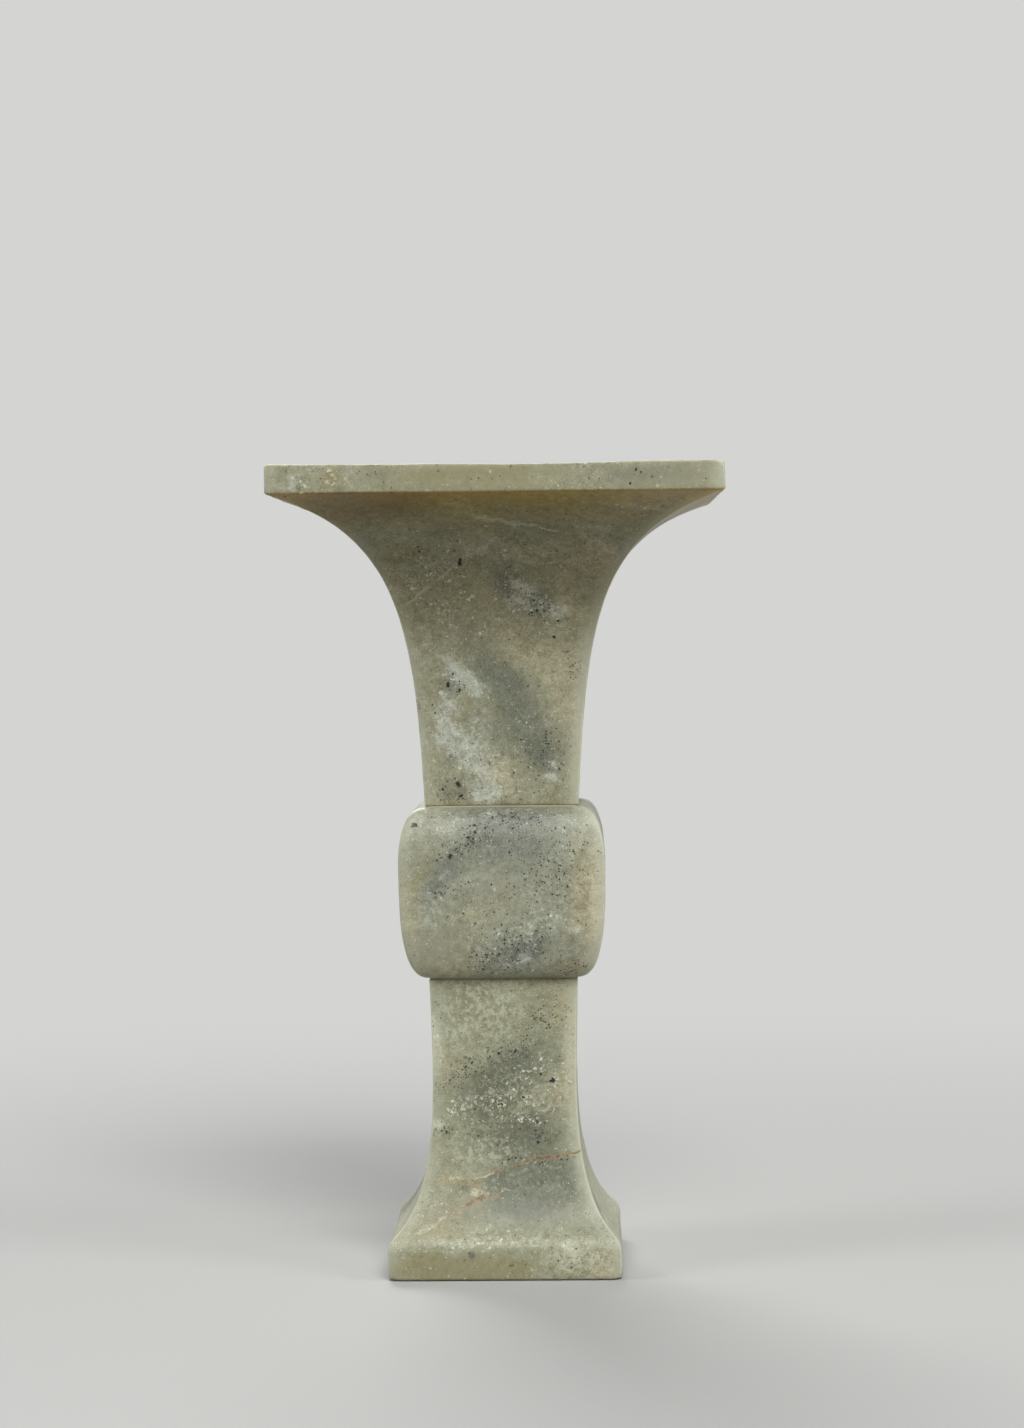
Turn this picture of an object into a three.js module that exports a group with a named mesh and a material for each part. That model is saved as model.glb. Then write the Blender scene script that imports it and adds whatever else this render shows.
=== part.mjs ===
// A square beaker vase of mottled grey-green jade.
//
// Three cut stones stand on one another: a spreading foot, a bulging knop and a neck
// that opens into a wide square mouth. Each joint is a square tenon in a square socket,
// bedded in a thin layer of cement. The neck is bored right through, the knop is bored
// to a floor, and the foot is ground hollow underneath.
//
// Millimetres, +Z up. The origin is the middle of the face that the foot stands on.

import * as THREE from "three";

// Heights, from the standing face up
const FOOT_HEIGHT = 88; // standing face to the lower cement bed
const KNOP_HEIGHT = 51; // lower bed to upper bed
const NECK_HEIGHT = 100; // upper bed to the rim
const CEMENT = 0.5; // thickness of both cement beds

// Widths across the flats
const FOOT_WIDTH = 69.2;
const STEM_WIDTH = 44.4; // the foot stone where it meets the knop
const KNOP_WIDTH = 61.4; // across the belly
const NECK_WIDTH = 45.8; // the neck where it meets the knop
const MOUTH_WIDTH = 131.2;

// Foot: an upright edge, then a concave sweep up to the stem
const FOOT_EDGE_HEIGHT = 11;
const FOOT_EDGE_ROUND = 2; // rounding of the edge it stands on
const FOOT_SWEEP_ANGLE = 36.5; // degrees above level, where the sweep leaves the edge
const FOOT_SWEEP_PULL = 1.18; // sweep's handle at the edge, in overhangs
const STEM_LEAN = 2.2; // degrees that the stem draws in below the knop
const STEM_PULL = 0.48; // sweep's handle at the stem, in heights of the sweep

// Knop: a belly that turns in to both joints
const BELLY_HEIGHT = 32; // widest level, above the knop's lower face
const BELLY_UPPER_PULL = 0.55; // handle at the belly, in heights up to the joint
const BELLY_LOWER_PULL = 0.58; // handle at the belly, in heights down to the joint
const SHOULDER_PULL = 0.8; // handles at the joints, in overhangs

// Neck: a straight-sided lip over a concave flare
const LIP_HEIGHT = 8.4;
const LIP_ARRIS = 0.6; // bevel on the lip's two top edges
const FLARE_ANGLE = 17.4; // degrees below level, where the flare leaves the lip
const FLARE_PULL = 0.8; // flare's handle at the lip, in overhangs
const NECK_LEAN = 2.7; // degrees that the neck opens above the knop
const NECK_PULL = 0.65; // flare's handle at the neck, in heights of the flare

// Hollows
const NECK_WALL = 9.4; // square to the neck's face
const WELL_FLOOR = 13; // stone between the well and the lower socket
const WELL_CORNER = 4; // inner corner radius of the well and of the hollow underneath
const HOLLOW_DEPTH = 9; // hollow under the foot
const HOLLOW_WALL = 6.5; // stone around that hollow

// Joints
const NECK_TENON_WALL = 4.6; // stone around the well in the neck's tenon
const NECK_TENON_DEPTH = 8;
const FOOT_TENON_WIDTH = 28;
const FOOT_TENON_HEIGHT = 8;
const TENON_CORNER = 2; // corner radius of the tenons
const POINTING = 0.3; // depth of the groove that shows at each bed's edge

// Ridges and smoothness
const RIDGE_RADIUS = 1; // rounding of the four upright ridges
const CORNER_STEPS = 3; // facets in each rounded corner
const CURVE_STEPS = 26; // facets along each swept curve
const ROUND_STEPS = 4; // facets along each small rounding

const footHalf = FOOT_WIDTH / 2;
const stemHalf = STEM_WIDTH / 2;
const knopHalf = KNOP_WIDTH / 2;
const neckHalf = NECK_WIDTH / 2;
const mouthHalf = MOUTH_WIDTH / 2;
const wellHalf = neckHalf - NECK_WALL;
const hollowHalf = footHalf - HOLLOW_WALL;
const footTenonHalf = FOOT_TENON_WIDTH / 2;
const neckTenonHalf = wellHalf + NECK_TENON_WALL;

// A point of an outline: half the width across the flats, and the height.
const point = (half, z) => new THREE.Vector2(half, z);

// The point that a curve's handle reaches from a start, at an angle above level.
function handle(start, length, degrees) {
  const angle = THREE.MathUtils.degToRad(degrees);
  return point(start.x + length * Math.cos(angle), start.y + length * Math.sin(angle));
}

// Levels of an outline, each with the corner radius that its square has there.
function levels(points, corner) {
  return points.map(({ x, y }) => ({ half: x, z: y, corner: Math.min(corner, x) }));
}

// Corner points of the rounded square at one level, counter-clockwise from above.
function squareRing({ half, z, corner }) {
  const inset = half - corner;
  const ring = [];
  for (let quarter = 0; quarter < 4; quarter++) {
    const centreX = quarter === 0 || quarter === 3 ? inset : -inset;
    const centreY = quarter < 2 ? inset : -inset;
    for (let step = 0; step <= CORNER_STEPS; step++) {
      const angle = ((quarter + step / CORNER_STEPS) * Math.PI) / 2;
      ring.push([centreX + corner * Math.cos(angle), centreY + corner * Math.sin(angle), z]);
    }
  }
  return ring;
}

// A closed body whose level sections are squares. The outline runs up the outside and down
// the inside. It goes round on itself when open is false, and otherwise its two ends are capped.
function squareBody(outline, open) {
  const rings = outline.map(squareRing);
  const around = rings[0].length;
  const positions = rings.flat(2);
  const triangles = [];
  const joined = open ? rings.length - 1 : rings.length;
  for (let level = 0; level < joined; level++) {
    const here = level * around;
    const next = ((level + 1) % rings.length) * around;
    for (let side = 0; side < around; side++) {
      const after = (side + 1) % around;
      triangles.push(here + side, here + after, next + after);
      triangles.push(here + side, next + after, next + side);
    }
  }
  if (open) {
    const last = (rings.length - 1) * around;
    const startCentre = positions.length / 3;
    positions.push(0, 0, outline[0].z, 0, 0, outline[outline.length - 1].z);
    for (let side = 0; side < around; side++) {
      const after = (side + 1) % around;
      triangles.push(startCentre, after, side);
      triangles.push(startCentre + 1, last + side, last + after);
    }
  }
  const geometry = new THREE.BufferGeometry();
  geometry.setAttribute("position", new THREE.Float32BufferAttribute(positions, 3));
  geometry.setIndex(triangles);
  geometry.computeVertexNormals();
  return geometry;
}

// The concave sweep from the foot's upright edge to the stem.
function footSweep() {
  const edge = point(footHalf, FOOT_EDGE_HEIGHT);
  const stem = point(stemHalf, FOOT_HEIGHT);
  const overhang = footHalf - stemHalf;
  const rise = FOOT_HEIGHT - FOOT_EDGE_HEIGHT;
  const edgeReach = (FOOT_SWEEP_PULL * overhang) / Math.cos(THREE.MathUtils.degToRad(FOOT_SWEEP_ANGLE));
  return new THREE.CubicBezierCurve(
    edge,
    handle(edge, edgeReach, 180 - FOOT_SWEEP_ANGLE),
    handle(stem, STEM_PULL * rise, 270 - STEM_LEAN),
    stem,
  );
}

// The knop's side, from its lower face out to the belly and in to its upper face.
function knopSide() {
  const lower = point(stemHalf, 0);
  const belly = point(knopHalf, BELLY_HEIGHT);
  const upper = point(neckHalf, KNOP_HEIGHT);
  const rise = KNOP_HEIGHT - BELLY_HEIGHT;
  const side = new THREE.CurvePath();
  side.add(
    new THREE.CubicBezierCurve(
      lower,
      handle(lower, SHOULDER_PULL * (knopHalf - stemHalf), 0),
      handle(belly, BELLY_LOWER_PULL * BELLY_HEIGHT, 270),
      belly,
    ),
  );
  side.add(
    new THREE.CubicBezierCurve(
      belly,
      handle(belly, BELLY_UPPER_PULL * rise, 90),
      handle(upper, SHOULDER_PULL * (knopHalf - neckHalf), 0),
      upper,
    ),
  );
  return side;
}

// The concave flare from the neck's foot up to the lip.
function mouthFlare() {
  const base = point(neckHalf, 0);
  const lip = point(mouthHalf, NECK_HEIGHT - LIP_HEIGHT);
  const rise = NECK_HEIGHT - LIP_HEIGHT;
  const overhang = mouthHalf - neckHalf;
  const lipReach = (FLARE_PULL * overhang) / Math.cos(THREE.MathUtils.degToRad(FLARE_ANGLE));
  return new THREE.CubicBezierCurve(
    base,
    handle(base, NECK_PULL * rise, 90 - NECK_LEAN),
    handle(lip, lipReach, 180 + FLARE_ANGLE),
    lip,
  );
}

// The inside of the neck from the rim down: the flare moved in by the wall's thickness,
// up to where it meets the rim, and then the well.
function neckInside(flare) {
  const moved = [];
  for (let step = CURVE_STEPS; step >= 0; step--) {
    const t = step / CURVE_STEPS;
    const along = flare.getTangent(t);
    const at = flare.getPoint(t);
    moved.push(point(at.x - along.y * NECK_WALL, at.y + along.x * NECK_WALL));
  }
  const bevelled = NECK_HEIGHT - LIP_ARRIS;
  const first = moved.findIndex((p) => p.y < bevelled);
  const below = moved[first];
  const above = moved[first - 1] ?? below;
  const share = above.y > below.y ? (bevelled - below.y) / (above.y - below.y) : 0;
  const brink = point(below.x + share * (above.x - below.x), bevelled);
  const funnel = moved.slice(first).filter((p) => p.y > 0 && p.x > wellHalf);
  return [point(brink.x + LIP_ARRIS, NECK_HEIGHT), brink, ...funnel];
}

function footStone() {
  const round = new THREE.EllipseCurve(
    footHalf - FOOT_EDGE_ROUND,
    FOOT_EDGE_ROUND,
    FOOT_EDGE_ROUND,
    FOOT_EDGE_ROUND,
    -Math.PI / 2,
    0,
  );
  const top = FOOT_HEIGHT + FOOT_TENON_HEIGHT;
  return squareBody(
    [
      ...levels([point(hollowHalf, HOLLOW_DEPTH), point(hollowHalf, 0)], WELL_CORNER),
      ...levels(round.getPoints(ROUND_STEPS), RIDGE_RADIUS),
      ...levels(footSweep().getPoints(CURVE_STEPS), RIDGE_RADIUS),
      ...levels([point(footTenonHalf, FOOT_HEIGHT), point(footTenonHalf, top)], TENON_CORNER),
    ],
    true,
  );
}

function knopStone() {
  const lowerSocket = footTenonHalf + CEMENT;
  const lowerCeiling = FOOT_TENON_HEIGHT;
  const upperSocket = neckTenonHalf + CEMENT;
  const upperLedge = KNOP_HEIGHT - NECK_TENON_DEPTH;
  const socketCorner = TENON_CORNER + CEMENT;
  return squareBody(
    [
      ...levels([point(lowerSocket, lowerCeiling), point(lowerSocket, 0)], socketCorner),
      ...levels(knopSide().getPoints(CURVE_STEPS), RIDGE_RADIUS),
      ...levels([point(upperSocket, KNOP_HEIGHT), point(upperSocket, upperLedge)], socketCorner),
      ...levels([point(wellHalf, upperLedge), point(wellHalf, lowerCeiling + WELL_FLOOR)], WELL_CORNER),
    ],
    true,
  );
}

function neckStone() {
  const flare = mouthFlare();
  const lip = [point(mouthHalf, NECK_HEIGHT - LIP_ARRIS), point(mouthHalf - LIP_ARRIS, NECK_HEIGHT)];
  return squareBody(
    [
      ...levels([point(neckTenonHalf, -NECK_TENON_DEPTH), point(neckTenonHalf, 0)], TENON_CORNER),
      ...levels(flare.getPoints(CURVE_STEPS), RIDGE_RADIUS),
      ...levels(lip, RIDGE_RADIUS),
      ...levels(neckInside(flare), WELL_CORNER),
      ...levels([point(wellHalf, 0), point(wellHalf, -NECK_TENON_DEPTH)], WELL_CORNER),
    ],
    false,
  );
}

// The bed over the foot's tenon: a cap on its top, a sleeve down its sides and a flange on the stem.
function lowerBed() {
  const flange = stemHalf - POINTING;
  const outer = footTenonHalf + CEMENT;
  const corner = TENON_CORNER + CEMENT;
  const inside = [point(footTenonHalf, FOOT_TENON_HEIGHT), point(footTenonHalf, 0)];
  const outside = [point(outer, CEMENT), point(outer, FOOT_TENON_HEIGHT + CEMENT)];
  return squareBody(
    [
      ...levels(inside, TENON_CORNER),
      ...levels([point(flange, 0), point(flange, CEMENT)], RIDGE_RADIUS),
      ...levels(outside, corner),
    ],
    true,
  );
}

// The bed round the neck's tenon: a flange on the knop, a sleeve down its socket and a ring on the ledge.
function upperBed() {
  const flange = neckHalf - POINTING;
  const outer = neckTenonHalf + CEMENT;
  const corner = TENON_CORNER + CEMENT;
  const ledge = -NECK_TENON_DEPTH;
  return squareBody(
    [
      ...levels([point(outer, ledge), point(outer, 0)], corner),
      ...levels([point(flange, 0), point(flange, CEMENT)], RIDGE_RADIUS),
      ...levels([point(neckTenonHalf, CEMENT), point(neckTenonHalf, ledge + CEMENT)], TENON_CORNER),
      ...levels([point(wellHalf, ledge + CEMENT), point(wellHalf, ledge)], WELL_CORNER),
    ],
    false,
  );
}

// A soft polish on the stones, and a dull brown bed.
const jade = (color) => new THREE.MeshStandardMaterial({ color, roughness: 0.35, metalness: 0 });
const cement = () => new THREE.MeshStandardMaterial({ color: 0x6d5a40, roughness: 0.9, metalness: 0 });

function place(name, geometry, material, height) {
  const mesh = new THREE.Mesh(geometry, material);
  mesh.name = name;
  mesh.position.z = height;
  return mesh;
}

const knopLevel = FOOT_HEIGHT + CEMENT;
const upperBedLevel = knopLevel + KNOP_HEIGHT;
const neckLevel = upperBedLevel + CEMENT;

const vase = new THREE.Group();
vase.name = "beaker_vase";
vase.add(
  place("foot", footStone(), jade(0x95947c), 0),
  place("lower_cement_bed", lowerBed(), cement(), FOOT_HEIGHT),
  place("knop", knopStone(), jade(0x8a8b79), knopLevel),
  place("upper_cement_bed", upperBed(), cement(), upperBedLevel),
  place("neck", neckStone(), jade(0x858270), neckLevel),
);

export default vase;
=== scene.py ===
# %% [markdown]
# # A jade beaker vase
#
# This lesson dresses the CAD model of a square beaker vase. The real one is mottled
# grey-green stone, ground to a soft polish by hand: a spreading foot, a bulging knop and a
# neck that opens into a wide mouth. The CAD solids are right in size but a little too
# perfect, so each stone is made again here with worn ridges and softly uneven faces, and
# then gets a finish that is built up as the stone itself is: clouds, flecks, specks and veins.

# %% Load the frame
import math

import bpy
import numpy as np
from mathutils import Matrix, Vector, noise


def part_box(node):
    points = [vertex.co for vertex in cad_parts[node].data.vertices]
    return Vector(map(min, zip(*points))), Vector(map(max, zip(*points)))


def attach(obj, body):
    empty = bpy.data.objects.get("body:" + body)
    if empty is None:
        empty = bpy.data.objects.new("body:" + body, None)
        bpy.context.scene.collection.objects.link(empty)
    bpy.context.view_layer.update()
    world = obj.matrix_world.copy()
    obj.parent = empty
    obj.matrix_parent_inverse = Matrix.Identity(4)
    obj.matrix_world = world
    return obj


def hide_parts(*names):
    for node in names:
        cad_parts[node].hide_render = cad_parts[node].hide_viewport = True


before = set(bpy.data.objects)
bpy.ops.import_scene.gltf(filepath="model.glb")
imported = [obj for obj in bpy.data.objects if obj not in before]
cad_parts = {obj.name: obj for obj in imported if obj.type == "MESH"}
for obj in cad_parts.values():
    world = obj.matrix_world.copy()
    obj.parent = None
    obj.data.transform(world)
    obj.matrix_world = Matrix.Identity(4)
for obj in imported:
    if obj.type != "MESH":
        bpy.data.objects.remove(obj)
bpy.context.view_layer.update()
print("nodes in the frame:", sorted(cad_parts))

# %% [markdown]
# ## Sizes
#
# Every size that the CAD model already holds is read from it, so the dressed stones still
# fit if the model is packed again at another size. The cement stands back from the stones'
# faces by the pointing, so a bed's box tells where the faces beside it are. Lengths here are
# in millimetres, because a stone cutter thinks in them. They become metres only in a mesh.

# %% Sizes from the CAD model
MM = 0.001


def box_mm(node):
    """The lowest and highest corner of a CAD node, in millimetres."""
    low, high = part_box(node)
    return np.array(low) / MM, np.array(high) / MM


_, foot_high = box_mm("foot")
knop_low, knop_high = box_mm("knop")
neck_low, neck_high = box_mm("neck")
lower_bed_low, lower_bed_high = box_mm("lower_cement_bed")
upper_bed_low, upper_bed_high = box_mm("upper_cement_bed")

POINTING = 0.3
CEMENT = knop_low[2] - lower_bed_low[2]
foot_half = foot_high[0]
foot_top = lower_bed_low[2]
stem_half = lower_bed_high[0] + POINTING
knop_half = knop_high[0]
knop_foot = knop_low[2]
knop_top = knop_high[2]
neck_half = upper_bed_high[0] + POINTING
neck_foot = upper_bed_high[2]
mouth_half = neck_high[0]
rim = neck_high[2]
print(f"foot {foot_half:.1f}, stem {stem_half:.1f}, knop {knop_half:.1f}, neck {neck_half:.1f}")
print(f"mouth {mouth_half:.1f} mm from the middle, rim at {rim:.1f} mm")

# %% [markdown]
# ## Outlines
#
# The vase is square, so one outline tells all about a stone: how far its faces stand from
# the middle at each height. The long sweeps are Bezier curves, as they are in the CAD model.
# An outline could be one long list of points, but short runs that meet at corners are easier
# to read, and each corner can then be softened by its own amount, as grinding does. A pull
# is the reach of a curve's handle, as a share of the way that the curve has to go.

# %% Helpers for runs of an outline
FULLEST_RIDGE = 0.9


def handle(start, reach, degrees):
    """The point that a curve's handle reaches, at an angle above level."""
    angle = math.radians(degrees)
    return start + reach * np.array([math.cos(angle), math.sin(angle)])


def bezier(start, leave, arrive, end, steps=120):
    """Points along a cubic curve."""
    t = np.linspace(0, 1, steps + 1)[:, None]
    early = (1 - t) ** 3 * start + 3 * (1 - t) ** 2 * t * leave
    late = 3 * (1 - t) * t**2 * arrive + t**3 * end
    return early + late


def run(points, ridge):
    """A run of an outline: distance from the middle, height, and the ridges' radius."""
    points = np.array(points, float)
    radius = np.minimum(ridge, FULLEST_RIDGE * points[:, 0])
    return np.column_stack([points, radius])


def cut(points, from_start, from_end, gap):
    """A run with both ends shortened, and its points about one gap apart."""
    steps = np.hypot(*np.diff(points[:, :2], axis=0).T)
    along = np.concatenate([[0], np.cumsum(steps)])
    first = from_start
    last = along[-1] - from_end
    count = max(int(round((last - first) / gap)), 1)
    want = np.linspace(first, last, count + 1)
    return np.column_stack([np.interp(want, along, column) for column in points.T])


def bend(before, corner, after, steps=5):
    """The small curve that rounds a corner between two runs."""
    t = np.linspace(0, 1, steps + 1)[1:-1, None]
    return (1 - t) ** 2 * before + 2 * (1 - t) * t * corner + t**2 * after


def outline(runs, softening, closed=False, gap=1.3):
    """Joins runs into one outline. Softening is how far each corner's rounding reaches."""
    count = len(runs)
    rows = []
    trimmed = []
    for k, points in enumerate(runs):
        before = softening[k - 1] if (k or closed) else 0
        after = softening[k] if (k < count - 1 or closed) else 0
        trimmed.append(cut(points, before, after, gap))
    for k in range(count):
        rows.append(trimmed[k])
        if k == count - 1 and not closed:
            break
        follows = trimmed[(k + 1) % count]
        corner = (runs[k][-1] + runs[(k + 1) % count][0]) / 2
        if softening[k] > 0:
            rows.append(bend(trimmed[k][-1], corner, follows[0]))
        else:
            rows[-1] = rows[-1][:-1]
    return np.concatenate(rows)


print("a ridge is rounded by at most", FULLEST_RIDGE, "of its distance from the middle")

# %% [markdown]
# ## Squares into a stone
#
# A square loft turns an outline into a mesh. Each level is a square with rounded corners,
# and the levels are joined by quads. An open outline starts and ends just off the middle,
# where one face closes it. Extruding a square and sculpting it would also do, but
# in a loft every face keeps even quads, which shade cleanly on long curved surfaces.

# %% The square loft
FACE_COLUMNS = 56
RIDGE_COLUMNS = 6


def square_plan():
    """For each column: its place on the square that the ridges start from, and its facing."""
    seats = []
    facings = []
    for quarter in range(4):
        turn = quarter * math.pi / 2
        spin = np.array([[math.cos(turn), math.sin(turn)], [-math.sin(turn), math.cos(turn)]])
        for share in np.linspace(-1, 1, FACE_COLUMNS + 1):
            seats.append(np.array([1, share]) @ spin)
            facings.append(np.array([1, 0]) @ spin)
        for step in range(1, RIDGE_COLUMNS):
            angle = step / RIDGE_COLUMNS * math.pi / 2
            seats.append(np.array([1, 1]) @ spin)
            facings.append(np.array([math.cos(angle), math.sin(angle)]) @ spin)
    return np.array(seats), np.array(facings)


def square_loft(name, rows, closed=False):
    """A closed stone whose level sections are rounded squares."""
    seats, facings = square_plan()
    inset = (rows[:, 0] - rows[:, 2])[:, None, None]
    flat = seats * inset + facings * rows[:, 2][:, None, None]
    height = np.broadcast_to(rows[:, 1][:, None, None], flat.shape[:2] + (1,))
    places = np.concatenate([flat, height], axis=2)
    levels, around = places.shape[:2]
    number = np.arange(levels * around).reshape(levels, around)
    here = number if closed else number[:-1]
    above = np.roll(number, -1, axis=0) if closed else number[1:]
    corners = [here, np.roll(here, -1, axis=1), np.roll(above, -1, axis=1), above]
    faces = np.stack(corners, axis=2).reshape(-1, 4).tolist()
    if not closed:
        faces.append(number[0, ::-1].tolist())
        faces.append(number[-1].tolist())
    mesh = bpy.data.meshes.new(name)
    mesh.from_pydata((places.reshape(-1, 3) * MM).tolist(), [], faces)
    mesh.shade_smooth()
    stone = bpy.data.objects.new(name, mesh)
    bpy.context.scene.collection.objects.link(stone)
    return stone


print("each level has", 4 * (FACE_COLUMNS + RIDGE_COLUMNS), "columns")

# %% [markdown]
# ## The hand of the grinder
#
# No face of a hand-ground stone is quite flat. Shallow waves a finger wide show when light
# slides over the polish. They could be bump in the material, but real geometry also bends
# the outline, so the points are moved by smooth noise. The waves die out at the joints and
# on the standing face, where the stones were ground flat to fit.

# %% Moving points as grinding does


def smooth_rise(value, low, high):
    """0 below low, 1 above high, and a smooth rise between."""
    share = np.clip((value - low) / (high - low), 0, 1)
    return share * share * (3 - 2 * share)


def points_of(mesh):
    """All points of a mesh in millimetres, and the way that each one faces."""
    places = np.empty(len(mesh.vertices) * 3)
    facings = np.empty(len(mesh.vertices) * 3)
    mesh.vertices.foreach_get("co", places)
    mesh.vertices.foreach_get("normal", facings)
    return places.reshape(-1, 3) / MM, facings.reshape(-1, 3)


def put_points(mesh, places):
    """Moves a mesh's points to places in millimetres."""
    mesh.vertices.foreach_set("co", (places * MM).ravel())
    mesh.update()


def waves(places, size, seed):
    """Smooth noise from -1 to 1 at each place, in waves of about one size."""
    shift = Vector((seed, 2.3 * seed, 3.7 * seed))
    return np.array([noise.noise(Vector(place) / size + shift) for place in places])


print("points can be read, moved and put back")

# %% Grinding waves
WIDE_WAVE = 14
WIDE_DEPTH = 0.16
FINE_WAVE = 4.5
FINE_DEPTH = 0.06
# How far from a flat face the waves begin, and how far from it they are full.
STILL = 0.6
FREE = 8


def grind(stone, low, high, seed):
    """Gives a stone shallow waves that die out towards two heights."""
    places, facings = points_of(stone.data)
    height = places[:, 2]
    free = smooth_rise(height, low + STILL, low + FREE)
    free *= smooth_rise(-height, -high + STILL, -high + FREE)
    depth = WIDE_DEPTH * waves(places, WIDE_WAVE, seed)
    depth += FINE_DEPTH * waves(places, FINE_WAVE, seed + 5)
    put_points(stone.data, places + facings * (depth * free)[:, None])
    print(stone.name, "waves up to", round(float(np.abs(depth * free).max()), 3), "mm")


print("waves are", WIDE_WAVE, "and", FINE_WAVE, "mm long")

# %% [markdown]
# ## The foot
#
# The lowest stone stands on a narrow ring and is ground hollow inside it. Outside, a short
# upright edge rolls over into a concave sweep that climbs to the stem. The roll is soft,
# because hands and cloths have polished it most. A square tenon on top fits the knop.

# %% The foot's outline
FOOT_EDGE = 11.0
SWEEP_ANGLE = 36.5
SWEEP_PULL = 1.18
STEM_LEAN = 2.2
STEM_PULL = 0.48
HOLLOW_DEPTH = 9.0
HOLLOW_WALL = 6.5
FOOT_TENON = 14.0
MIDDLE = 0.4
RIDGE = 0.5
WORN_RIDGE = 1.0
BED_RIDGE = 1.2
TENON_RIDGE = 2
BORED_RIDGE = 4
FOOT_SOFTENING = [1.5, 0.6, 1.0, 3.0, 0.2, 0.3, 0.5]

sweep_reach = SWEEP_PULL * (foot_half - stem_half) / math.cos(math.radians(SWEEP_ANGLE))
edge_top = np.array([foot_half, FOOT_EDGE])
stem_top = np.array([stem_half, foot_top])
foot_sweep = bezier(
    edge_top,
    handle(edge_top, sweep_reach, 180 - SWEEP_ANGLE),
    handle(stem_top, STEM_PULL * (foot_top - FOOT_EDGE), 270 - STEM_LEAN),
    stem_top,
)
hollow = foot_half - HOLLOW_WALL
tenon_top = foot_high[2]
foot_runs = [
    run([(MIDDLE, HOLLOW_DEPTH), (hollow, HOLLOW_DEPTH)], BORED_RIDGE),
    run([(hollow, HOLLOW_DEPTH), (hollow, 0)], BORED_RIDGE),
    run([(hollow, 0), (foot_half, 0)], BED_RIDGE),
    run([(foot_half, 0), edge_top], WORN_RIDGE),
    run(foot_sweep, RIDGE),
    run([stem_top, (FOOT_TENON, foot_top)], RIDGE),
    run([(FOOT_TENON, foot_top), (FOOT_TENON, tenon_top)], TENON_RIDGE),
    run([(FOOT_TENON, tenon_top), (MIDDLE, tenon_top)], TENON_RIDGE),
]
foot_outline = outline(foot_runs, FOOT_SOFTENING)
print("the foot's outline has", len(foot_outline), "levels")

# %% The foot stone
foot_stone = square_loft("foot_stone", foot_outline)
grind(foot_stone, 0, foot_top, seed=11)
print("foot stone:", len(foot_stone.data.polygons), "faces")

# %% [markdown]
# ## Worn corners under the foot
#
# A heavy vase is tipped on a lower corner each time it is moved, so these corners are worn
# round. A bevel would cut all edges alike. Pulling in only the points that lie near a corner
# leaves the long edges as they are.

# %% Wear on the foot's corners
WORN_FOOT = 0.4
WORN_FOOT_REACH = 3.5


def wear_foot(stone):
    """Rounds the four lower corners, on which the vase is tipped when it is moved."""
    places, _ = points_of(stone.data)
    corners = np.sign(places) * np.array([foot_half, foot_half, 0])
    away = np.linalg.norm(places - corners, axis=1)
    nearness = 1 - smooth_rise(away, 0, WORN_FOOT_REACH)
    inward = np.column_stack([-np.sign(places[:, :2]), np.ones(len(places))])
    put_points(stone.data, places + WORN_FOOT * nearness[:, None] * inward)
    print("points moved at the foot's corners:", int((nearness > 0).sum()))


wear_foot(foot_stone)

# %% [markdown]
# ## The knop
#
# The middle stone swells between the two joints, widest a little above its middle, and turns
# in with full shoulders. Inside it has a socket at each end and a blind well between them.
# The well can be seen through the mouth, and the sockets leave room for the tenons.

# %% The knop's outline
BELLY = 32.0
BELLY_PULL_DOWN = 0.58
BELLY_PULL_UP = 0.55
SHOULDER = 0.8
WELL_FLOOR = 13.0
NECK_WALL = 9.4
NECK_TENON_WALL = 4.6
SOCKET_RIDGE = 2.5
KNOP_SOFTENING = [0.4, 0.3, 0, 0, 0.3, 0.4, 0.4, 2.0]

well = neck_half - NECK_WALL
lower_socket = FOOT_TENON + CEMENT
lower_ceiling = lower_bed_high[2]
upper_socket = well + NECK_TENON_WALL + CEMENT
upper_ledge = upper_bed_low[2]
well_floor = lower_ceiling + WELL_FLOOR

knop_start = np.array([stem_half, knop_foot])
belly = np.array([knop_half, knop_foot + BELLY])
knop_end = np.array([neck_half, knop_top])
under_belly = bezier(
    knop_start,
    handle(knop_start, SHOULDER * (knop_half - stem_half), 0),
    handle(belly, BELLY_PULL_DOWN * BELLY, 270),
    belly,
)
over_belly = bezier(
    belly,
    handle(belly, BELLY_PULL_UP * (knop_top - belly[1]), 90),
    handle(knop_end, SHOULDER * (knop_half - neck_half), 0),
    knop_end,
)
knop_side = np.concatenate([under_belly, over_belly[1:]])
print("the belly is", round(2 * knop_half, 1), "mm wide at a height of", round(belly[1], 1), "mm")

# %% The knop stone
knop_runs = [
    run([(MIDDLE, lower_ceiling), (lower_socket, lower_ceiling)], SOCKET_RIDGE),
    run([(lower_socket, lower_ceiling), (lower_socket, knop_foot)], SOCKET_RIDGE),
    run([(lower_socket, knop_foot), knop_start], BED_RIDGE),
    run(knop_side, WORN_RIDGE),
    run([knop_end, (upper_socket, knop_top)], BED_RIDGE),
    run([(upper_socket, knop_top), (upper_socket, upper_ledge)], SOCKET_RIDGE),
    run([(upper_socket, upper_ledge), (well, upper_ledge)], BORED_RIDGE),
    run([(well, upper_ledge), (well, well_floor)], BORED_RIDGE),
    run([(well, well_floor), (MIDDLE, well_floor)], BORED_RIDGE),
]
knop_outline = outline(knop_runs, KNOP_SOFTENING, gap=1.2)
knop_stone = square_loft("knop_stone", knop_outline)
grind(knop_stone, knop_foot, knop_top, seed=23)
print("knop stone:", len(knop_stone.data.polygons), "faces")

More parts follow.
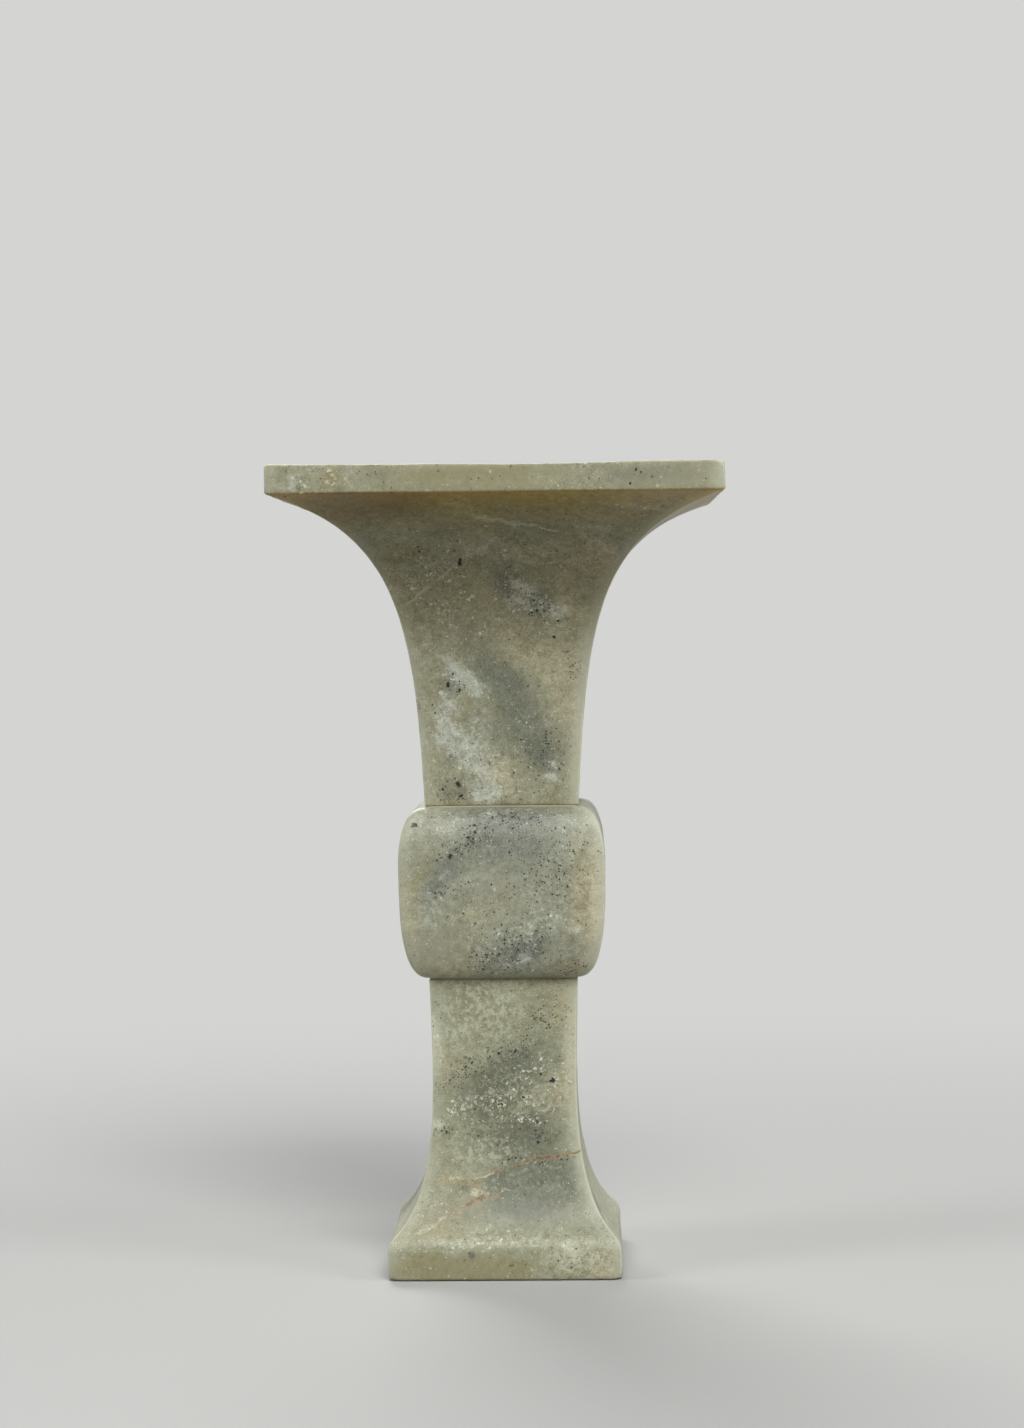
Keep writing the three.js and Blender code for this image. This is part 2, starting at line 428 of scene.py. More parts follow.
# %% [markdown]
# ## The neck
#
# The upper stone stands on a hollow tenon, climbs nearly straight, and then flares out to a
# flat, upright lip. Its inside is the same flare moved in by the wall's thickness, down to a
# square well. The grinding waves run on over the rim, so their upper end lies above it.

# %% The neck's flare
LIP = 8.4
FLARE_ANGLE = 17.4
LIP_PULL = 0.8
NECK_LEAN = 2.7
NECK_PULL = 0.65

neck_tenon = well + NECK_TENON_WALL
neck_start = np.array([neck_half, neck_foot])
lip_edge = np.array([mouth_half, rim - LIP])
overhang = mouth_half - neck_half
lip_reach = LIP_PULL * overhang / math.cos(math.radians(FLARE_ANGLE))
flare = bezier(
    neck_start,
    handle(neck_start, NECK_PULL * (rim - LIP - neck_foot), 90 - NECK_LEAN),
    handle(lip_edge, lip_reach, 180 + FLARE_ANGLE),
    lip_edge,
)
along = np.gradient(flare, axis=0)
along /= np.hypot(*along.T)[:, None]
moved = flare + NECK_WALL * np.column_stack([-along[:, 1], along[:, 0]])
inside = moved[(moved[:, 1] < rim) & (moved[:, 0] > well)][::-1]
brink = np.array([np.interp(rim, moved[:, 1], moved[:, 0]), rim])
funnel = np.concatenate([[brink], inside, [(well, inside[-1][1] - 1)]])
print("the mouth is", round(2 * brink[0], 1), "mm wide inside")

# %% The neck stone
NECK_SOFTENING = [0.5, 0.3, 0.2, 0.7, 0.5, 1.1, 0, 0.6]
ABOVE_RIM = 9

neck_base = neck_low[2]
neck_runs = [
    run([(well, neck_base), (neck_tenon, neck_base)], SOCKET_RIDGE),
    run([(neck_tenon, neck_base), (neck_tenon, neck_foot)], TENON_RIDGE),
    run([(neck_tenon, neck_foot), neck_start], RIDGE),
    run(flare, RIDGE),
    run([lip_edge, (mouth_half, rim)], RIDGE),
    run([(mouth_half, rim), brink], WORN_RIDGE),
    run(funnel, BORED_RIDGE),
    run([funnel[-1], (well, neck_base)], BORED_RIDGE),
]
neck_outline = outline(neck_runs, NECK_SOFTENING, closed=True, gap=1.4)
neck_stone = square_loft("neck_stone", neck_outline, closed=True)
grind(neck_stone, neck_foot, rim + ABOVE_RIM, seed=37)
print("neck stone:", len(neck_stone.data.polygons), "faces")

# %% [markdown]
# ## The worn rim
#
# The rim was ground by hand and worn by use: it is a little hollow between its corners and
# not quite even, and one corner has lost its sharpness. It could be cut by a wavy surface,
# but lowering the points near the rim keeps the even quads.

# %% Wear on the rim
RIM_HOLLOW = 0.35
RIM_LOWERED = 0.1
RIPPLE = 0.08
RIPPLE_SIZE = 22
FINE_RIPPLE = 0.05
FINE_RIPPLE_SIZE = 6
WORN_CORNER = 0.35
WORN_CORNER_REACH = 4


def wear_rim(stone):
    """Hollows the rim a little between its corners and rounds one corner of the lip."""
    places, _ = points_of(stone.data)
    near_rim = smooth_rise(places[:, 2], rim - LIP + 1, rim)
    to_corner = np.min(np.abs(places[:, :2]), axis=1) / mouth_half
    dip = RIM_HOLLOW * (1 - smooth_rise(to_corner, 0, 1))
    ripple = RIPPLE * waves(places, RIPPLE_SIZE, seed=4)
    ripple += FINE_RIPPLE * waves(places, FINE_RIPPLE_SIZE, seed=8)
    ripple -= RIM_LOWERED
    places[:, 2] += near_rim * (ripple - dip)
    corner = np.array([mouth_half, -mouth_half, rim])
    away = np.linalg.norm(places - corner, axis=1)
    nearness = 1 - smooth_rise(away, 0, WORN_CORNER_REACH)
    places += WORN_CORNER * nearness[:, None] * np.array([-1, 1, -1])
    put_points(stone.data, places)
    print("rim lowered by up to", round(float((near_rim * (dip - ripple)).max()), 2), "mm")


wear_rim(neck_stone)

# %% [markdown]
# ## Into the frame
#
# The vase is one rigid body, so all three stones ride on the same one. Each stands for the
# CAD solid of the same stone, which is hidden and stays for collision.

# %% Set the stones in the frame
for stone, node in [(foot_stone, "foot"), (knop_stone, "knop"), (neck_stone, "neck")]:
    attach(stone, "root")
    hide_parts(node)
    print(stone.name, "stands for", node)

# %% [markdown]
# ## Wiring nodes
#
# A finish is a tree of shader nodes. Adding them one by one in the editor is fine for a plain
# colour, but a stone needs hundreds, so a small class adds them by their purpose: a smooth
# rise, a blend of two colours, the larger of two values. What one call returns goes straight
# into the next.

# %% The wiring helper


class Wiring:
    """Adds nodes to one tree, each by what it is for."""

    def __init__(self, tree):
        self.tree = tree

    def add(self, kind, **settings):
        node = self.tree.nodes.new(kind)
        for setting, value in settings.items():
            setattr(node, setting, value)
        return node

    def feed(self, socket, value):
        """Puts a number, a colour or another node's output into a socket."""
        if isinstance(value, bpy.types.NodeSocket):
            self.tree.links.new(value, socket)
        else:
            socket.default_value = value

    def math(self, operation, *values):
        node = self.add("ShaderNodeMath", operation=operation)
        for socket, value in zip(node.inputs, values):
            self.feed(socket, value)
        return node.outputs[0]

    def times(self, first, second):
        return self.math("MULTIPLY", first, second)

    def larger(self, first, second):
        return self.math("MAXIMUM", first, second)

    def added(self, value, amount, total):
        """A total to which some amount of a value is added."""
        return self.math("MULTIPLY_ADD", value, amount, total)

    def swing(self, lumps, amount, total):
        """A total that noise pushes up and down around its middle."""
        return self.added(self.math("SUBTRACT", lumps, 0.5), amount, total)

    def rise(self, value, low, high, bottom=0.0, top=1.0):
        """A smooth rise from bottom to top while the value goes from low to high."""
        node = self.add("ShaderNodeMapRange", interpolation_type="SMOOTHSTEP")
        for socket, number in zip(node.inputs, (value, low, high, bottom, top)):
            self.feed(socket, number)
        return node.outputs[0]

    def blend(self, share, first, second, how="MIX"):
        """Goes from the first colour to the second as the share goes from 0 to 1."""
        node = self.add("ShaderNodeMix", data_type="RGBA", blend_type=how)
        for socket, value in ((0, share), (6, first), (7, second)):
            self.feed(node.inputs[socket], value)
        return node.outputs[2]

    def parts(self, vector):
        """The three axes of a vector."""
        node = self.add("ShaderNodeSeparateXYZ")
        self.feed(node.inputs[0], vector)
        return node.outputs

    def joined(self, *axes):
        """A vector made of its axes."""
        node = self.add("ShaderNodeCombineXYZ")
        for socket, axis in zip(node.inputs, axes):
            self.feed(socket, axis)
        return node.outputs[0]


print("wiring knows:", [name for name in vars(Wiring) if not name.startswith("_")])

# %% [markdown]
# ## Places in a finish
#
# Everything works in the stone's own coordinates in millimetres, so a pattern goes through
# the stone and around its ridges. A pattern drawn on unwrapped faces would break at their
# seams. A soft patch is a ball that is stretched, turned and set on the front face, and a line
# is a thin box that fades at its ends.

# %% The finish writer
LEAST_PATCH_DEPTH = 6.0
PATCH_DEPTH = 1.2
LINE_DEPTH = 9.0


class Finish(Wiring):
    """One material, with helpers for what lies where in it."""

    def __init__(self, name):
        self.material = bpy.data.materials.new(name)
        self.material.use_nodes = True
        super().__init__(self.material.node_tree)
        self.surface = self.tree.nodes["Principled BSDF"]
        coordinates = self.add("ShaderNodeTexCoord")
        scaled = self.add("ShaderNodeVectorMath", operation="SCALE")
        self.feed(scaled.inputs[0], coordinates.outputs["Object"])
        self.feed(scaled.inputs["Scale"], 1 / MM)
        self.place = scaled.outputs[0]

    def set_surface(self, values):
        """Feeds the shader's sockets by their names."""
        for socket, value in values.items():
            self.feed(self.surface.inputs[socket], value)

    def noise(self, place, size, detail=3.0, roughness=0.55, output=0):
        """Smooth noise around 0.5 in lumps of about one size."""
        node = self.add("ShaderNodeTexNoise")
        self.feed(node.inputs["Vector"], place)
        self.feed(node.inputs["Scale"], 1 / size)
        self.feed(node.inputs["Detail"], detail)
        self.feed(node.inputs["Roughness"], roughness)
        return node.outputs[output]

    def shifted(self, place, lumps, amount):
        """Coordinates pushed about by noise, so that shapes get ragged edges."""
        push = self.add("ShaderNodeVectorMath", operation="MULTIPLY_ADD")
        self.feed(push.inputs[0], lumps)
        self.feed(push.inputs[1], (amount, amount, amount))
        self.feed(push.inputs[2], place)
        centred = self.add("ShaderNodeVectorMath", operation="ADD")
        self.feed(centred.inputs[0], push.outputs[0])
        self.feed(centred.inputs[1], (-amount / 2, -amount / 2, -amount / 2))
        return centred.outputs[0]

    def laid(self, place, centre, sizes, rise, lean=0):
        """Coordinates of a body with its own centre and sizes, rising to the right and the back."""
        node = self.add("ShaderNodeMapping", vector_type="TEXTURE")
        self.feed(node.inputs["Vector"], place)
        self.feed(node.inputs["Location"], centre)
        self.feed(node.inputs["Rotation"], (math.radians(lean), -math.radians(rise), 0))
        self.feed(node.inputs["Scale"], sizes)
        return node.outputs[0]

    def patches(self, place, marks, front):
        """Soft patches on the front face, added up: each is full in its middle, none at its rim."""
        total = 0.0
        for x, z, half_length, half_width, rise, strength in marks:
            depth = max(LEAST_PATCH_DEPTH, PATCH_DEPTH * max(half_length, half_width))
            body = self.laid(place, (x, -front(z), z), (half_length, depth, half_width), rise)
            ball = self.add("ShaderNodeTexGradient", gradient_type="SPHERICAL")
            self.feed(ball.inputs[0], body)
            total = self.added(ball.outputs[1], strength, total)
        return total

    def lines(self, place, marks, front):
        """Thin lines on the front face: even in width, and fading only at their ends."""
        total = 0.0
        for x, z, half_length, half_width, rise, strength in marks:
            sizes = (half_length, LINE_DEPTH, half_width)
            body = self.laid(place, (x, -front(z), z), sizes, rise)
            along, deep, across = [self.math("ABSOLUTE", axis) for axis in self.parts(body)]
            fading = self.rise(along, 0.7, 1.1, strength, 0.0)
            shallow = self.rise(deep, 0.8, 1.0, 1.0, 0.0)
            thin = self.rise(across, 0.2, 1.0, 1.0, 0.0)
            total = self.larger(self.times(self.times(fading, shallow), thin), total)
        return total


print("a finish adds:", [name for name in vars(Finish) if not name.startswith("_")])

# %% [markdown]
# ## What is in the stone
#
# The jade is no single colour. A milky green-grey ground turns beige and olive in places.
# Blue-grey and white clouds lie in it along its bedding, with crystal flecks, black specks
# in streaks, and a few healed cracks stained by rust. Each stone has its own ground, grey and
# white. Tints, mottles and strokes multiply the colour under them. The others replace it.

# %% Colours of the stone
NECK_GROUND = (0.262, 0.258, 0.172, 1)
KNOP_GROUND = (0.262, 0.271, 0.202, 1)
FOOT_GROUND = (0.268, 0.273, 0.186, 1)
NECK_GREY = (0.121, 0.132, 0.100, 1)
KNOP_GREY = (0.134, 0.143, 0.115, 1)
FOOT_GREY = (0.124, 0.131, 0.091, 1)
BEIGE = (0.318, 0.298, 0.196, 1)
OLIVE = (0.238, 0.222, 0.124, 1)
CREAM = (0.452, 0.418, 0.292, 1)
NECK_WHITE = (0.424, 0.448, 0.386, 1)
KNOP_WHITE = (0.446, 0.468, 0.398, 1)
FOOT_WHITE = (0.454, 0.458, 0.352, 1)
FLECK = (0.620, 0.628, 0.505, 1)
MOTTLE_DARK = (0.62, 0.585, 0.51, 1)
MOTTLE_LIGHT = (1.38, 1.40, 1.42, 1)
PEPPER = (0.072, 0.075, 0.054, 1)
SPECK = (0.012, 0.012, 0.010, 1)
RUST = (0.308, 0.226, 0.120, 1)
RUST_CORE = (0.100, 0.077, 0.038, 1)
JOINT_TINT = (0.86, 0.80, 0.66, 1)
# The next four tints are painted under the lip: shade, a glow at the lip's edge, warmer shade, and
# darker shade at the left.
FLARE_SHADE_TINT = (0.68, 0.645, 0.56, 1)
PAINTED_GLOW_TINT = (1.22, 1.10, 0.80, 1)
WARM_SHADE_TINT = (0.98, 0.81, 0.50, 1)
LEFT_SHADE_TINT = (0.66, 0.60, 0.48, 1)
# The next colour is partly worn stone and partly painted glow and highlight along the ridges.
RIDGE_GLOW_AND_WEAR = (0.475, 0.485, 0.378, 1)
STROKE_DARK = (0.80, 0.80, 0.80, 1)
STROKE_LIGHT = (1.14, 1.14, 1.13, 1)
print("ground colours:", NECK_GROUND[:3], KNOP_GROUND[:3], FOOT_GROUND[:3])

# %% [markdown]
# ## Marks on the front
#
# Painting all of the stone by hand would only fit one side. Here the front's main marks are
# given one by one and noise does the rest, so that the other sides are as rich. A mark is its
# middle, across and up the front face in millimetres, then its half length, half width, rise
# in degrees and strength. Most kinds are named by colour. Rice is a felt of soft blotches,
# chips are large crystals, calm places have little mottle, and healed and rust are cracks.

# %% Round marks


def dots(radius, strength, *middles):
    """Round marks of one size."""
    return [(x, z, radius, radius, 0, strength) for x, z in middles]


print("a round mark:", dots(0.9, 1.2, (0, 120)))

# %% [markdown]
# ## The neck's marks
#
# The neck is browner and calmer on the lip, with a blue-grey streak full of crystals that
# falls to the right across the flare, and dark grains near the lower joint.

# %% Marks on the neck
neck_marks = {
    "grey": [
        (10, 201, 14, 7, -35, 1.1), (1, 205, 7, 4, -50, 0.7), (-15, 176, 6, 5.5, 0, 0.8),
        (-13.5, 144.5, 9, 7, 0, 0.9), (-14.5, 154, 5, 5, 0, 0.7), (6, 161, 28, 18, -36, 0.9),
        (1, 176, 16, 9, -35, 0.4), (-4, 184, 17, 9, -35, 0.6), (13, 154, 9, 9, 0, 0.5),
        (-12, 196, 16, 7, -35, 0.4), (-24, 211, 12, 8, -30, 0.5), (2, 210, 8, 4.5, -30, 0.5),
        (14, 221, 11, 4, -8, 0.5), (-14, 221, 9, 4, 0, 0.5), (-33, 236, 6, 4, 0, 0.5),
        (-51, 236, 2.8, 5, 0, 0.45), (36, 235, 7, 5, 0, 0.35), (46, 236, 20, 7, 0, 0.6),
    ],
    "white": [
        (6.5, 205, 7, 3.4, -35, 1.2), (5, 200.5, 5, 3, -20, 1.2), (17.5, 197.5, 5, 3, -20, 1.2),
        (-19, 186, 9, 3, -40, 0.7), (-10.5, 177.8, 9, 4.6, -38, 1.7), (-15.5, 171, 5, 7, 0, 0.6),
        (-16, 166, 7.5, 11, 0, 0.8), (-12, 159, 10, 9, -30, 0.75), (12, 199, 8, 4, -35, 0.9),
        (-20, 212, 7, 5, -40, 0.45), (-27, 206, 5, 4, 0, 0.45), (-16, 199, 6, 3.5, 0, 0.4),
        (-6, 151, 11, 9, -20, 0.9), (-7, 162, 6, 7, -30, 0.4), (-5.5, 142.5, 7, 6, 0, 1.4),
        (14.5, 148, 3.6, 2.6, 0, 1.5), (16, 152.7, 2.6, 2.6, 0, 1.2), (2, 190, 6, 4, -20, 0.4),
        (-58, 235, 8, 4.5, 0, 0.55), (57, 237, 6, 3, 0, 0.4), (-41.5, 236, 3.4, 5, 0, 0.4),
        (-26, 236.5, 6, 5, 0, 0.3), (27, 236, 7, 5, 0, 0.25), (49, 237, 6, 4, 0, 0.3),
    ],
    "beige": [
        (20, 172, 44, 11, 90, 1.0), (2, 150, 12, 11, 0, 0.7), (6, 187, 18, 8, -35, 0.8),
        # The first mark on the next line is painted light on the flare's right end, which faces the
        # right lamp.
        (24, 213, 18, 10, -25, 1.2), (6, 215, 9, 4, -10, 0.9), (-6, 217, 16, 6, 15, 0.9),
        (-30, 204, 10, 7, 0, 0.7), (-3, 203, 10, 5, -30, 0.6), (60, 235, 8, 6, 0, 0.5),
    ],
    "olive": [
        (-8, 236, 40, 8, 0, 0.95), (-14, 208, 20, 10, -20, 0.5), (-24, 215, 9, 5, 0, 0.7),
        (-31, 215, 8, 6, -30, 0.7), (-46.5, 235.5, 5, 5, 0, 0.9),
    ],
    "cream": dots(0.9, 1.2, (-47.3, 238.2), (-46.5, 236.6), (-47.4, 234.6))
    + dots(0.9, 1.2, (-46.2, 233.6), (-45.6, 235.2))
    # The last mark on the next line is painted light on the flare's right end too.
    + [(-1, 150, 9, 7, 20, 0.45), (31, 214, 13, 9, -30, 0.6)],
    "specks": [
        (12, 155, 12, 11, 0, 0.8), (-14, 144, 8, 6, 0, 1.1), (4, 143, 18, 4, 0, 0.5),
        (23, 180, 5, 3.5, 0, 0.9), (-13, 175.5, 4, 3, 0, 0.8), (10, 200, 10, 6, -35, 0.9),
        (37, 236, 9, 5, 0, 0.15), (-34, 236, 6, 4, 0, 0.5),
    ],
    "spots": dots(0.9, 1.2, (-15.2, 176), (-12.8, 146.5), (-10.8, 212.2))
    + dots(0.6, 1.1, (10.1, 200.6), (15.8, 190.5), (-17, 145))
    + dots(0.6, 1.1, (-12.5, 174.4), (-13.9, 178.6), (-12, 143))
    + dots(0.45, 1.1, (18, 194.6), (20.8, 185.4), (-23, 215))
    + dots(0.45, 1.1, (13.2, 220.6), (39.7, 237.8), (41.6, 237.2))
    + dots(0.45, 0.9, (30, 234.8), (38.3, 233.9), (-6.3, 153.8), (-11, 154)),
    "crystals": [
        (10, 201, 15, 8, -35, 2.0), (-16, 196, 14, 12, 30, 0.6), (-10, 158, 12, 22, 0, 0.4),
        (8, 160, 16, 12, -35, 0.5), (-22, 210, 20, 14, -20, 1.0), (10, 214, 30, 12, 0, 0.6),
        (-56, 235, 9, 6, 0, 0.6),
    ],
    "healed": [
        (-24, 202.3, 5, 0.6, 34, 1.0), (-15.5, 209, 6, 0.45, 42, 0.8), (-7, 215, 4, 0.4, 28, 1.0),
        (-2, 217.4, 3, 0.42, 35, 1.0), (0, 224, 7, 0.9, -10, 1.0), (12, 221.7, 7, 0.6, -12, 1.0),
        (27, 222, 6, 1.2, -8, 0.5), (43, 227, 10, 1.0, -6, 0.5),
    ],
    "rice": [
        (-56, 235, 9, 6, 0, 0.6), (-10, 158, 14, 24, 0, 0.4), (-22, 210, 16, 10, -20, 0.5),
    ],
    "calm": [
        (-10, 236, 50, 7, 0, 1.2), (50, 235, 24, 8, 0, 1.0),
    ],
    # The next mark paints darker shade at the left under the lip.
    "grime": [(-38, 228.5, 30, 8, 0, 1.2)],
    "rust": [
        (-35.3, 239.4, 0.9, 0.45, 0, 1.0), (-32.8, 239.5, 1.0, 0.4, 20, 0.8),
        (-12, 166, 1.1, 0.9, 0, 0.5), (-48.3, 236.4, 2.2, 0.3, 75, 0.7),
        (-46.4, 235.6, 1.1, 0.3, -20, 0.8), (-46.9, 237.4, 1.0, 0.3, 25, 0.8),
        (41, 230.3, 1.6, 0.5, -10, 0.8),
    ],
}
print("marks on the neck:", sum(len(marks) for marks in neck_marks.values()))

# %% [markdown]
# ## The knop's marks
#
# The knop is the greyest stone, most of all at its top. Lines of black specks rise to the
# right, and its margins are warmer and paler.

# %% Marks on the knop
knop_marks = {
    "grey": [
        (-2, 130, 30, 13, 10, 0.85), (0, 138.5, 30, 6, 0, 1.0), (-19, 117, 14, 6, 52, 0.8),
        (4, 97, 20, 9, 25, 0.85), (8, 97.5, 11, 5, 25, 0.6), (9, 126, 18, 12, 0, 0.5),
        (-1, 114, 15, 8, 20, 0.35),
    ],
    "white": [
        (-19, 132.8, 4.5, 2.4, 0, 0.9), (-4.6, 137.9, 4.5, 2.6, 0, 0.7),
        (-12.5, 135.1, 5, 2.4, 0, 0.45), (15, 134, 11, 5, 0, 0.25), (-17, 120, 3.4, 2.6, 30, 0.7),
        (-7.5, 98, 4, 3, 0, 0.7), (1.5, 94, 3.4, 2.8, 0, 0.8), (7, 95, 5, 3, 0, 0.8),
        (21.7, 103, 3, 2.4, 0, 1.2),
    ],
    "beige": [
        (-12, 100, 22, 14, 20, 0.55), (0, 113, 16, 8, 25, 0.4), (26, 112, 26, 10, 90, 1.4),
        # The last two marks on the next line lighten the knop's down-facing bottom edge: painted
        # light where it is in shade.
        (-28, 112, 26, 7, 90, 0.8), (-16, 91.5, 18, 4.5, 0, 0.7), (20, 92, 12, 5, 0, 0.7),
    ],
    "olive": [
        (-23, 120, 14, 5, 60, 0.7),
    ],
    "cream": [
        # On the next line the first mark is a painted glow along the right margin, where the light
        # comes from, and the other two are painted light on the down-facing bottom edge.
        (27.5, 112, 24, 5, 90, 0.75), (-13, 90.6, 15, 3, 0, 0.38), (13, 90, 14, 2, 0, 0.28),
    ],
    "specks": [
        (-9, 131, 18, 4.2, 33, 1.8), (5, 136, 11, 3, 3, 1.6), (15, 124, 20, 17, 0, 0.55),
        (14, 120, 9, 6, 30, 0.4), (-15, 115.6, 8, 2.4, 12, 1.6), (0, 96.5, 20, 9, 20, 0.95),
        (21, 92, 8, 5, 0, 1.0), (-2, 112, 22, 16, 20, 0.25),
    ],
    "spots": dots(0.9, 1.2, (-9.9, 130.5), (-25.6, 134.9), (-15.2, 124.9))
    + dots(0.48, 1.2, (-13.1, 127.8), (-10.8, 131.8), (-7.6, 132))
    + dots(0.48, 1.2, (0.5, 135.9), (4.9, 136.4), (12.1, 125.2))
    + dots(0.48, 1.1, (11.9, 122.3), (21.7, 126.6), (12.3, 101.2), (5.2, 102.7), (-10.3, 95.9))
    + dots(0.38, 1.1, (24.1, 127.8), (17, 122), (29, 126.3))
    + dots(0.38, 1.1, (-18, 114.8), (-3.5, 111.2), (1.7, 102.5))
    + dots(0.38, 1.0, (24.8, 134.2), (9.1, 136.4), (-5.5, 95.9), (-11.3, 108.8)),
    "crystals": [
        (8, 105, 24, 9, 20, 0.45), (2, 95, 14, 8, 20, 0.8), (-14, 133, 14, 5, 20, 0.4),
    ],
    "rice": [
        (8, 104, 26, 11, 20, 0.7), (-20, 108, 9, 16, 0, 0.5), (0, 124, 24, 10, 0, 0.3),
    ],
    "calm": [
        (-20, 97, 16, 12, 0, 0.8), (-2, 117, 16, 7, 10, 0.6),
    ],
    "rust": [(22, 91.5, 4, 0.6, 20, 0.6), (27, 117, 3, 0.4, 10, 0.4)],
}
print("marks on the knop:", sum(len(marks) for marks in knop_marks.values()))

# %% [markdown]
# ## The foot's marks
#
# The foot has a grey stem with large crystals, a rusty crack where the sweep begins, a broken
# cream flaw on the slope, and an upright edge that goes from olive to a pale felt.

# %% Marks on the foot
foot_marks = {
    "grey": [
        (6, 64, 18, 9.5, 25, 0.9), (-4, 56, 18, 10, 20, 0.7), (9, 40, 15, 10, 15, 0.8),
        (-1, 50, 20, 13, 0, 0.8), (0, 38, 26, 12, 0, 0.55), (3, 29.3, 14, 4.5, 15, 1.0),
        (10, 26.5, 19, 10, 15, 2.2), (0, 20, 50, 15, 0, 0.57), (10, 17, 34, 7, 0, 0.2),
        (-22, 3, 16, 5, 0, 0.35), (-10, 7.2, 1.8, 1.5, 0, 1.6), (-13, 25, 6, 3, 20, 0.5),
        (-18, 18, 13, 7, 10, 0.3),
    ],
    "white": [
        (-20, 44.8, 4, 3, 0, 1.3), (-20.2, 11.8, 4.5, 2.6, 0, 0.8), (-12, 10.8, 6, 3, 0, 0.6),
        (-8, 14.2, 7, 2.4, 0, 0.6), (-16.6, 8.6, 3.5, 2, 0, 0.6), (6, 11, 13, 3, -4, 0.2),
        (19, 9.2, 6, 3.6, -10, 0.6), (22, 5, 14, 6, 0, 0.8), (-9, 36, 14, 6, 15, 0.25),
        (-24, 66, 30, 7.5, 90, 1.25), (-14.5, 69, 9, 5, 65, 0.4),
    ],
    "beige": [
        (0, 52, 13, 9, 0, 0.6), (16, 55, 10, 9, 0, 0.8), (-14, 23, 15, 7, 25, 0.8),
        (18, 80, 18, 9, 90, 1.0), (-17, 62, 8, 12, 0, 0.6), (29, 4, 7, 6, 0, 1.6),
        (-19, 15, 14, 6, 10, 0.8),
    ],
    "olive": [
        (-1, 3.2, 17, 6, 0, 1.4), (-21, 3.2, 19, 6, 0, 1.5), (-17, 18, 14, 7, 15, 0.9),
        (-14, 27.6, 11, 3.2, -8, 0.9), (-26, 8, 9, 3, 0, 0.6), (5, 12, 36, 2.6, 0, 0.4),
        # The last mark on the next line darkens the stem's top under the knop: partly a brown joint
        # stain and partly painted shade of the knop's overhang.
        (-12, 26.2, 3.5, 2, 20, 1.1), (0, 50, 10, 5, 10, 1.0), (0, 88, 30, 4, 0, 0.6),
    ]
    + dots(1.7, 0.9, (14, 4), (17.5, 7), (21, 2.5), (24.5, 6.2), (17, 2), (28, 2.6)),
    "cream": [
        (-9.2, 24.4, 3.4, 2.2, 25, 0.8), (-15, 28.2, 8.5, 2.0, -8, 0.5),
        (-5, 24.5, 6, 2.2, 15, 0.4), (1, 25, 2, 1, 0, 0.5), (30, 5, 4, 4, 0, 0.4),
        (20, 5, 10, 5, 0, 0.45), (24, 66, 32, 8.5, 90, 1.0), (-22, 16, 5, 1.6, 28, 0.3),
    ],
    "specks": [
        (-12, 60.5, 17, 4.6, 32, 1.7), (2, 66.5, 13, 4.4, 15, 1.7), (14, 76.5, 11, 5, 20, 1.5),
        (2.5, 34.2, 6, 1.8, 0, 1.8), (15, 34, 8, 2.2, 8, 1.5), (-18.5, 42.5, 5, 4, 0, 0.8),
        (10, 42, 9, 6, 0, 0.4),
    ],
    "spots": dots(0.9, 1.2, (13.6, 57))
    + dots(0.5, 1.2, (-9.7, 62.8), (-4.9, 64.6), (-1.9, 65.5), (3.5, 66))
    + dots(0.5, 1.2, (10.6, 60), (5.5, 52.4), (-1.4, 49.3))
    + dots(0.6, 1.1, (10.4, 39.1))
    + dots(0.45, 1.2, (-11.8, 61.6), (-16.3, 57.8), (1.2, 34.2), (3, 34.3))
    + dots(0.45, 1.2, (4.6, 34.1), (16.6, 33.8), (-18.8, 42.3)),
    "crystals": [
        (0, 52, 27, 11, 0, 1.0), (12, 62, 12, 9, 0, 0.8), (-10, 36, 16, 8, 0, 0.3),
        (6, 20, 28, 8, 0, 0.15), (-9, 11, 20, 5, 0, 0.6), (24, 6, 16, 7, 0, 0.5),
    ],
    "chips": dots(3.2, 1.2, (-13.4, 50.6), (2.2, 54), (5.8, 58.4), (5.4, 46.4), (15, 57))
    + dots(2.2, 1.1, (10.2, 44.8), (16.9, 62), (-16.4, 48.8), (-3, 51.4))
    + dots(2.2, 1.1, (12, 49), (8.4, 61), (11.5, 64.5)),
    "healed": [
        (-6.5, 29.4, 4, 0.5, 17, 0.9), (-22, 15.6, 6, 0.8, 28, 0.5),
    ],
    "rice": [
        (-8, 79, 22, 16, 0, 1.1), (0, 52, 27, 12, 0, 0.6), (-8, 37, 18, 9, 0, 0.9),
        (6, 19, 30, 8, 0, 0.2), (-8, 11.5, 24, 5, 0, 0.65), (14, 12.5, 20, 4, 0, 0.4),
        (24, 6, 16, 7, 0, 1.2),
    ],
    "calm": [
        (-12, 3, 36, 8, 0, 1.2), (4, 19, 32, 8, 0, 1.0), (0, 10, 40, 4, 0, 0.15),
        (-20, 68, 6, 20, 0, 0.6),
    ],
    "rust": [
        (-6, 29.9, 5, 0.4, 16, 0.7), (1.5, 31.7, 5, 0.5, 15, 1.0), (8, 33.5, 4.5, 0.7, 15, 1.0),
        (14.5, 34.9, 4, 0.85, 8, 1.0), (20.3, 36.3, 4, 0.6, 16, 1.0),
        (-8.6, 22, 3.8, 1.4, 30, 0.85), (-3.4, 23.2, 3, 1.0, 8, 0.5),
        (-15.5, 18.2, 5, 0.7, 28, 0.45), (-13.5, 27, 7, 0.8, -8, 0.4),
    ],
}
print("marks on the foot:", sum(len(marks) for marks in foot_marks.values()))

